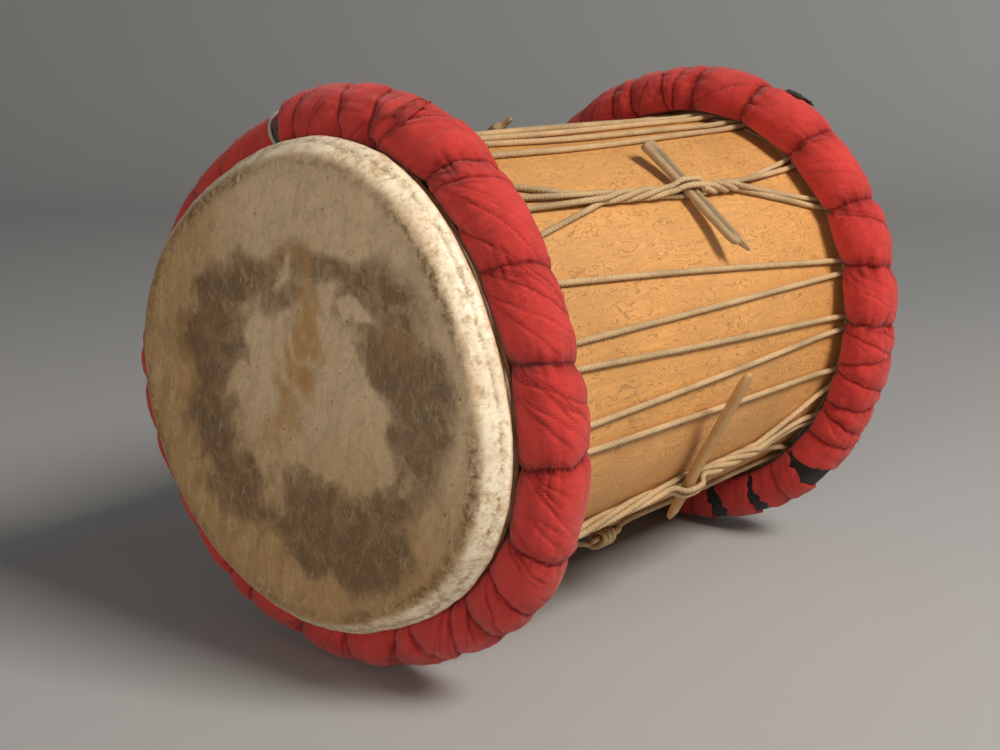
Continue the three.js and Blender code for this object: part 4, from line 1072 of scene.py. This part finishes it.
def rope_height(x):
    """Radius of the rope's middle line: tucked under the ridge, then up over the skirt, then down to
    lie on the shell, each change a smooth step of the distance from the face."""
    setback = HALF_LENGTH - np.abs(x)
    tucked = shell_radius(HALF_LENGTH - HOLES) + HALF_ROPE
    on_skirt = shell_radius(RUN_END) + FIT + HIDE + HALF_ROPE
    on_shell = shell_radius(x) + HALF_ROPE
    rising = tucked + (on_skirt - tucked) * smooth((setback - RISE_START) / RISE)
    falling = on_skirt + (on_shell - on_skirt) * smooth((setback - SKIRT_END) / FALL)
    return np.where(setback < SKIRT_END, rising, falling)


def all_turns(seen):
    """The seen turning points, then an even step round the hidden side back to the first."""
    seen = np.array(seen, float)
    count = TURN_COUNT - len(seen) + 1
    step = (seen[0] + 360 - seen[-1]) / count
    return np.concatenate([seen, seen[-1] + step * np.arange(1, count + 1)])


FRONT_ANGLES, BACK_ANGLES = all_turns(FRONT_TURNS), all_turns(BACK_TURNS)


def bight(side, angle):
    """Half turn of rope under a head's ridge: across is the half width times the sine of the turn,
    and the setback grows by the half width times one less its cosine."""
    half = 7.0 if side < 0 else 4.5
    turn = np.linspace(-1, 1, 9) * pi / 2
    reach = half * (1 - np.cos(turn))
    reach[[0, -1]] = TUCK
    x = side * (HALF_LENGTH - (HOLES - FIT + reach))
    height = rope_height(x)
    return np.stack([x, angle + np.degrees(half * np.sin(turn) / height), height], -1)


def run_ends(run):
    """Back and front end of a run: even runs leave the back turning point of their number."""
    number, even = run // 2, run % 2 == 0
    back = bight(1, BACK_ANGLES[number if even else number + 1])
    front = bight(-1, FRONT_ANGLES[number])
    return (back[-1], front[0]) if even else (back[0], front[-1])


def run_angle(start, stop, x):
    """Angle of a straight run, which changes evenly along the axis."""
    return start[1] + (stop[1] - start[1]) * (x - start[0]) / (stop[0] - start[0])


def straight_run(start, stop, x):
    """Points of a straight run, whose height follows the shell."""
    x = np.asarray(x, float)
    return np.stack([x, run_angle(start, stop, x), rope_height(x)], -1)


def bundle_centre(stick, x):
    """Mean angle of a bundle's four runs, evenly from head to head."""
    ends = np.array([[end[1] for end in run_ends(stick.first + i)] for i in range(4)]).mean(0)
    return ends[1] + (ends[0] - ends[1]) * (x + HALF_LENGTH) / (2 * HALF_LENGTH)


def stick_height(stick):
    return shell_radius(stick.at) + FIT + ROPE + STICK_GAP + STICK_THICKNESS / 2


def bundle_strand(stick, strand, twist_radius):
    """One strand of a twisted bundle: a helix of three quarters of a turn on each side of the stick,
    lifted over the stick or pressed under it by a smooth step, and straight to both heads beyond."""
    back, front = run_ends(stick.first + strand)
    phase = (225, 135, 45, -45)[strand]
    above = np.sin(np.radians(phase + TWIST)) > 0
    lean = np.cos(np.radians(stick.lean))
    middle = stick_height(stick) / lean
    reach = STICK_THICKNESS / 2 / lean + STICK_GAP + ROPE / 2

    def half(end, limit, side):
        near = stick.at + side * EYE
        x = np.append(np.linspace(limit, near, 16),
                      [stick.at + side * EYE_SHOULDER, stick.at + side * EYE_EDGE])
        share = np.clip((x - limit) / (near - limit), 0, 1)
        lift = smooth((LIFT_REACH - np.abs(x - stick.at)) / (LIFT_REACH - EYE_EDGE))
        turn = np.radians(phase + TWIST * share)
        lying = shell_radius(x) + HALF_ROPE
        level = np.where(above, middle + reach, np.minimum(middle - reach, lying))
        free = lying + twist_radius + twist_radius * np.sin(turn)
        wide = (twist_radius + TWIST_SPREAD * lift) * np.cos(turn)
        angle = bundle_centre(stick, x) + np.degrees(wide / (lying + twist_radius))
        twist = np.stack([x, angle, free + (level - free) * lift], -1)
        tip, off_collar = twist[0], straight_run(end, twist[0], [side * COLLAR_EDGE])[0]
        run = np.linspace(0, 1, 7)[1:-1, None]
        fan = tip + (off_collar - tip) * run
        fan[:, 2] = rope_height(fan[:, 0]) + (tip[2] - rope_height(tip[0])) * (1 - run[:, 0]) ** 2
        return np.concatenate([straight_run(end, tip, [side * RUN_END]), [off_collar], fan[::-1], twist])

    return np.concatenate([half(back, stick.stop, 1), half(front, stick.start, -1)[::-1]])


def run_points(run, twist_radius):
    """A run from the back to the front, or the other way where its number is odd."""
    stick = next((s for s in STICKS if s.first <= run < s.first + 4), None)
    if stick:
        points = bundle_strand(stick, run - stick.first, twist_radius)
    else:
        points = straight_run(*run_ends(run), np.linspace(RUN_END, -RUN_END, 11))
    return points if run % 2 == 0 else points[::-1]


def knot_end(side):
    """One end of the rope: side by side with the other through the knot, then out to its head."""
    ends = run_ends(KNOT_RUN)
    x = KNOT_PLACE + side * np.array([-KNOT_LENGTH, 0, KNOT_LENGTH])
    height = shell_radius(x) + KNOT_HEIGHT
    angle = run_angle(*ends, x) + np.degrees(-side * HALF_ROPE / height)
    outside = [KNOT_PLACE + 36 * side, side * 110.0, side * COLLAR_EDGE, side * RUN_END]
    return np.concatenate([np.stack([x, angle, height], -1), straight_run(*ends, outside)])


def lacing_path(twist_radius):
    """The whole rope, from its knot to and fro between the heads and back to its knot."""
    parts = [knot_end(-1)]
    for step in range(1, 2 * TURN_COUNT + 1):
        run = (KNOT_RUN + step) % (2 * TURN_COUNT)
        number, side = run // 2, 1 if run % 2 == 0 else -1
        parts.append(bight(side, (BACK_ANGLES if side > 0 else FRONT_ANGLES)[number]))
        if step < 2 * TURN_COUNT:
            parts.append(run_points(run, twist_radius))
    parts.append(knot_end(1)[::-1])
    return placed(*np.concatenate(parts).T)


def knot_path():
    """Three oval turns round both rope ends: across is a cosine, height a sine of the turn."""
    turn = np.linspace(0, 6 * pi, 109)
    x = KNOT_PLACE + (turn / (6 * pi) - 0.5) * 3 * (ROPE + 2 * FIT)
    centre = shell_radius(x) + KNOT_HEIGHT
    angle = run_angle(*run_ends(KNOT_RUN), x) + np.degrees(7.8 * np.cos(turn) / centre)
    return placed(x, angle, centre + 4.9 * np.sin(turn))


def collar_cord_path():
    """Round the section of the front collar, at the near edge of the black under-wrap: the angle
    swings by the sine of twice the section."""
    section = np.linspace(-122, 122, 62)
    return collar_form(-1, 72.9 + 0.5 * np.sin(np.radians(2 * section)), section, COLLAR_TUBE - 0.2)


class DRUM_OT_lacing(bpy.types.Operator):
    """Adds the lacing rope, its knot, and the cord round the front collar"""
    bl_idname = "drum.lacing"
    bl_label = "Rope Lacing"

    def execute(self, context):
        colours, shape = context.scene.drum_colours, context.scene.drum_shape
        cord = laid_cord("cotton_cord", colours.cord, colours.cord_shade, shape.rope_lay)
        path = curved(lacing_path(shape.twist_radius / MILLIMETRE), 3.0)
        add_cord("cord_lacing", path, ROPE / 2, shape.rope_sides, cord, "rope", "lacing_rope")
        add_cord("cord_knot", knot_path(), ROPE / 2, 10, cord, "rope", "rope_knot")
        # The darker grey is painted shade in the cord's grooves
        grey = laid_cord("grey_cord", colours.grey_cord, shade(colours.grey_cord, 0.4), 0.005)
        add_cord("collar_tie_cord", collar_cord_path(), 1.25, 8, grey, "grey_cord", "front_collar_cord")
        return {"FINISHED"}


# ---- Sticks

# Along a stick: share of its length, of its width and of its thickness
FLAT_SHARES = ((0, 0.4, 0.5), (0.02, 0.7, 0.8), (0.05, 0.9, 0.96), (0.12, 1, 1), (0.55, 1.02, 1),
               (0.88, 0.94, 0.95), (0.96, 0.8, 0.86), (0.985, 0.6, 0.66), (1, 0.35, 0.45))
SPLIT_SHARES = ((0, 1.0, 1.0), (0.015, 1.3, 1.2), (0.14, 1.26, 1.1), (0.3, 1.1, 1), (0.5, 1.06, 1),
                (0.65, 1.16, 1), (0.85, 1.1, 0.95), (0.93, 0.9, 0.85), (0.97, 0.6, 0.6), (1, 0.3, 0.35))
SQUARENESS, STICK_GIRTH, STICK_SIDES = 0.55, 36, 32


def stick_surface(stick, seed):
    """Rings of a stick: a rounded oblong section, a power of cosine and sine, scaled along the length
    by the table's shares. A split stick bends and has a channel pressed into its outer face, a dent in
    its blunt end and a ragged, forked tip. Returns points, the share of painted shade in the channel
    and the dent, and lengths along."""
    table = np.array(SPLIT_SHARES if stick.split else FLAT_SHARES)
    share = np.concatenate([np.linspace(0, 0.06, 10)[:-1], np.linspace(0.06, 0.9, 70)[:-1],
                            np.linspace(0.9, 1, 16)])[:, None]
    wide, thick = (np.interp(share, table[:, 0], table[:, k]) for k in (1, 2))
    turn = np.linspace(0, 2 * pi, STICK_SIDES, endpoint=False)
    u, v = (np.sign(wave) * np.abs(wave) ** SQUARENESS for wave in (np.cos(turn), np.sin(turn)))
    aa, bb = u * wide * stick.width / 2, v * thick * STICK_THICKNESS / 2
    along = stick.offset + stick.length * (share - 0.5) + aa * 0
    rough = lattice_noise(np.stack([along * 0.12, aa, bb], -1), 2.6, seed)
    rough *= 0.35 if stick.split else 0.15
    recess_shade, bend = np.zeros_like(aa), 0
    if stick.split:
        bend = 0.7 * np.sin(pi * share * 1.3 + seed)
        groove = bell(aa - 1.2, stick.width * 0.2) * (bb > 0)
        groove = groove * smooth(share / 0.12) * smooth((0.9 - share) / 0.1)
        bb = bb - 2.1 * groove
        mouth = bell(aa - 1, 3.4) * bell(bb, 2.2) * smooth((0.025 - share) / 0.025)
        ragged = lattice_noise(flat(aa, bb), 2.2, seed + 3)
        tip = smooth((share - 0.87) / 0.13)
        along = along + 5 * mouth + tip * (2.5 * ragged - 7 * smooth((0.3 - u) / 0.8) - 4 * bell(u, 0.3))
        aa = aa + 0.2 * stick.width * tip ** 2
        # Painted shade in the channel and in the dent of the blunt end
        recess_shade = np.clip(0.9 * groove + mouth, 0, 1)
    aa, bb = aa + rough * np.sign(aa) * 0.6, bb + rough * 0.4
    lean, lie = np.radians(stick.lean), np.radians(stick.skew)
    tangent = np.radians(bundle_centre(stick, stick.at) + stick.lean)
    outward = np.array([0, np.cos(tangent), np.sin(tangent)])
    down, axis = np.array([0, -np.sin(tangent), np.cos(tangent)]), np.array([1.0, 0, 0])
    lengthwise = down * np.cos(lie) + axis * np.sin(lie)
    across = axis * np.cos(lie) - down * np.sin(lie)
    middle = ((outward - down * np.tan(lean)) * stick_height(stick) + axis * stick.at
              + np.array([0, AXIS_SIDE, AXIS_HEIGHT]))
    points = (middle + along[..., None] * lengthwise + (aa + bend)[..., None] * across
              + bb[..., None] * outward)
    return points, recess_shade, along


class DRUM_OT_sticks(bpy.types.Operator):
    """Adds the five tensioning sticks, each riding on its own body"""
    bl_idname = "drum.sticks"
    bl_label = "Tensioning Sticks"

    def execute(self, context):
        colours = context.scene.drum_colours
        split = stick_wood("weathered_split_wood", colours.weathered,
                           shade(colours.weathered, 0.45), 0.8)
        pale = stick_wood("whittled_pale_wood", colours.pale, shade(colours.pale, 0.6), 0.6)
        for i, stick in enumerate(STICKS, 1):
            rings, recess_shade, along = stick_surface(stick, 400 + 9 * i)
            finish = (split, "split_wood") if stick.split else (pale, "pale_wood")
            add_rings(f"tension_stick_{i}", rings, *finish, f"toggle_stick_{i}", f"toggle_{i}",
                      along=along[:, 0], girth=STICK_GIRTH, marks={"fold": recess_shade}, end_mark=np.max)
        return {"FINISHED"}


class DRUM_OT_inner_rings(bpy.types.Operator):
    """Gives the hidden straw rings and cane hoops their finishes"""
    bl_idname = "drum.inner_rings"
    bl_label = "Inner Rings"

    def execute(self, context):
        colours = context.scene.drum_colours
        finishes = {"collar_core": bound_fibre("bound_straw", colours.straw, (400, 90, 90)),
                    "flesh_hoop": bound_fibre("bare_cane", colours.cane, (700, 60, 60))}
        for end, (part, material) in product(("front", "back"), finishes.items()):
            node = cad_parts[f"{end}_{part}"]
            node.data.materials.clear()
            node.data.materials.append(material)
        return {"FINISHED"}


# ---- Stage, in metres

CAMERA_PLACE = (-0.9155, -0.7213, 0.4379)
CAMERA_FORWARD = (0.74945369, 0.62114751, -0.22911775)
CAMERA_RIGHT = (0.63843434, -0.76967436, 0.00172689)
CAMERA_UP = (0.1752734, 0.14757086, 0.97339718)

# Square soft lamps: name, setting of the power, place, point aimed at, colour
LAMP_SIZE, DRUM_MIDDLE = 0.8, (0, 0, AXIS_HEIGHT * MILLIMETRE)
LAMPS = (("key", (0.15, -1.9, 1.92), DRUM_MIDDLE, "FFF8EF"),
         ("backdrop", (3.2, -0.9, 1.5), (3.4, 1.6, 1.3), "FFFDF8"),
         ("fill", (-2.8, -1.0, 0.85), DRUM_MIDDLE, "FFF4E6"))


def backdrop_sweep():
    """Paper sweep seen along its length: flat floor, then a quarter round of 0.9 m, then upright. It
    stands square to the camera's heading, carried sideways over 9 m."""
    turn = np.linspace(0, pi / 2, 17)
    bend = np.stack([2.3 + 0.9 * np.sin(turn), 0.9 - 0.9 * np.cos(turn)], -1)
    line = np.concatenate([[[-2.6, 0]], [[0, 0]], bend, [[3.2, 4.2]]])
    heading = np.array([CAMERA_FORWARD[0], CAMERA_FORWARD[1], 0])
    heading /= np.linalg.norm(heading)
    sideways = np.array([heading[1], -heading[0], 0])
    points = (line[:, None, :1] * heading + line[:, None, 1:] * np.array([0, 0, 1.0])
              + np.array([-4.5, 4.5])[:, None] * sideways)
    return points.reshape(-1, 3), grid(len(line), 2)[0]


class DRUM_OT_studio(bpy.types.Operator):
    """Adds the camera, the paper sweep, the lamps and the even light all round"""
    bl_idname = "drum.studio"
    bl_label = "Studio"

    def execute(self, context):
        scene, studio = context.scene, context.scene.drum_studio
        data = bpy.data.cameras.new("studio_camera")
        data.lens, data.sensor_width, data.clip_start, data.clip_end = studio.lens, 36, 0.01, 60
        scene.camera = bpy.data.objects.new("studio_camera", data)
        axes = Matrix((CAMERA_RIGHT, CAMERA_UP, [-v for v in CAMERA_FORWARD])).transposed()
        scene.camera.matrix_world = Matrix.Translation(CAMERA_PLACE) @ axes.to_4x4()
        scene.collection.objects.link(scene.camera)
        points, quads = backdrop_sweep()
        mesh = bpy.data.meshes.new("paper_sweep")
        mesh.from_pydata(points.tolist(), [], quads[:, ::-1].tolist())
        mesh.shade_smooth()
        mesh.materials.append(paper_floor(studio.floor))
        sweep = bpy.data.objects.new("paper_sweep", mesh)
        scene.collection.objects.link(sweep)
        for name, place, target, colour in LAMPS:
            data = bpy.data.lights.new(f"{name}_lamp", "AREA")
            data.size, data.energy = LAMP_SIZE, getattr(studio, f"{name}_power")
            data.color = linear_colour(colour)[:3]
            lamp = bpy.data.objects.new(f"{name}_lamp", data)
            lamp.location = place
            aim = Vector(target) - Vector(place)
            lamp.rotation_euler = aim.to_track_quat("-Z", "Y").to_euler()
            scene.collection.objects.link(lamp)
        scene.world = bpy.data.worlds.new("studio_world")
        scene.world.use_nodes = True
        tree = scene.world.node_tree
        tree.nodes.clear()
        light = add_node(tree, "Background", {"Color": linear_colour("F4F4F6"),
                                              "Strength": studio.world_level})
        add_node(tree, "OutputWorld", {"Surface": light})
        scene.view_settings.view_transform = "Standard"
        return {"FINISHED"}


class DRUM_PT_panel(bpy.types.Panel):
    """Lists the pieces and the settings of the drum"""
    bl_label = "Drum"
    bl_idname = "DRUM_PT_panel"
    bl_space_type = "VIEW_3D"
    bl_region_type = "UI"
    bl_category = "Drum"

    def draw(self, context):
        for step in STEPS:
            self.layout.operator(step.bl_idname)
        for group in (context.scene.drum_shape, context.scene.drum_colours, context.scene.drum_studio):
            box = self.layout.box()
            for key in group.__annotations__:
                box.prop(group, key)


STEPS = (DRUM_OT_studio, DRUM_OT_inner_rings, DRUM_OT_shell, DRUM_OT_heads, DRUM_OT_collars,
         DRUM_OT_lacing, DRUM_OT_sticks)
GROUPS = {"drum_colours": DrumColours, "drum_shape": DrumShape, "drum_studio": DrumStudio}


def register():
    for part in (*GROUPS.values(), *STEPS, DRUM_PT_panel):
        bpy.utils.register_class(part)
    for key, group in GROUPS.items():
        setattr(bpy.types.Scene, key, PointerProperty(type=group))


def unregister():
    for key in GROUPS:
        delattr(bpy.types.Scene, key)
    for part in (DRUM_PT_panel, *reversed(STEPS), *GROUPS.values()):
        bpy.utils.unregister_class(part)


def main():
    register()
    bpy.ops.drum.studio()
    bpy.ops.drum.inner_rings()
    bpy.ops.drum.shell()
    bpy.ops.drum.heads()
    bpy.ops.drum.collars()
    bpy.ops.drum.lacing()
    bpy.ops.drum.sticks()


if __name__ == "__main__":
    main()
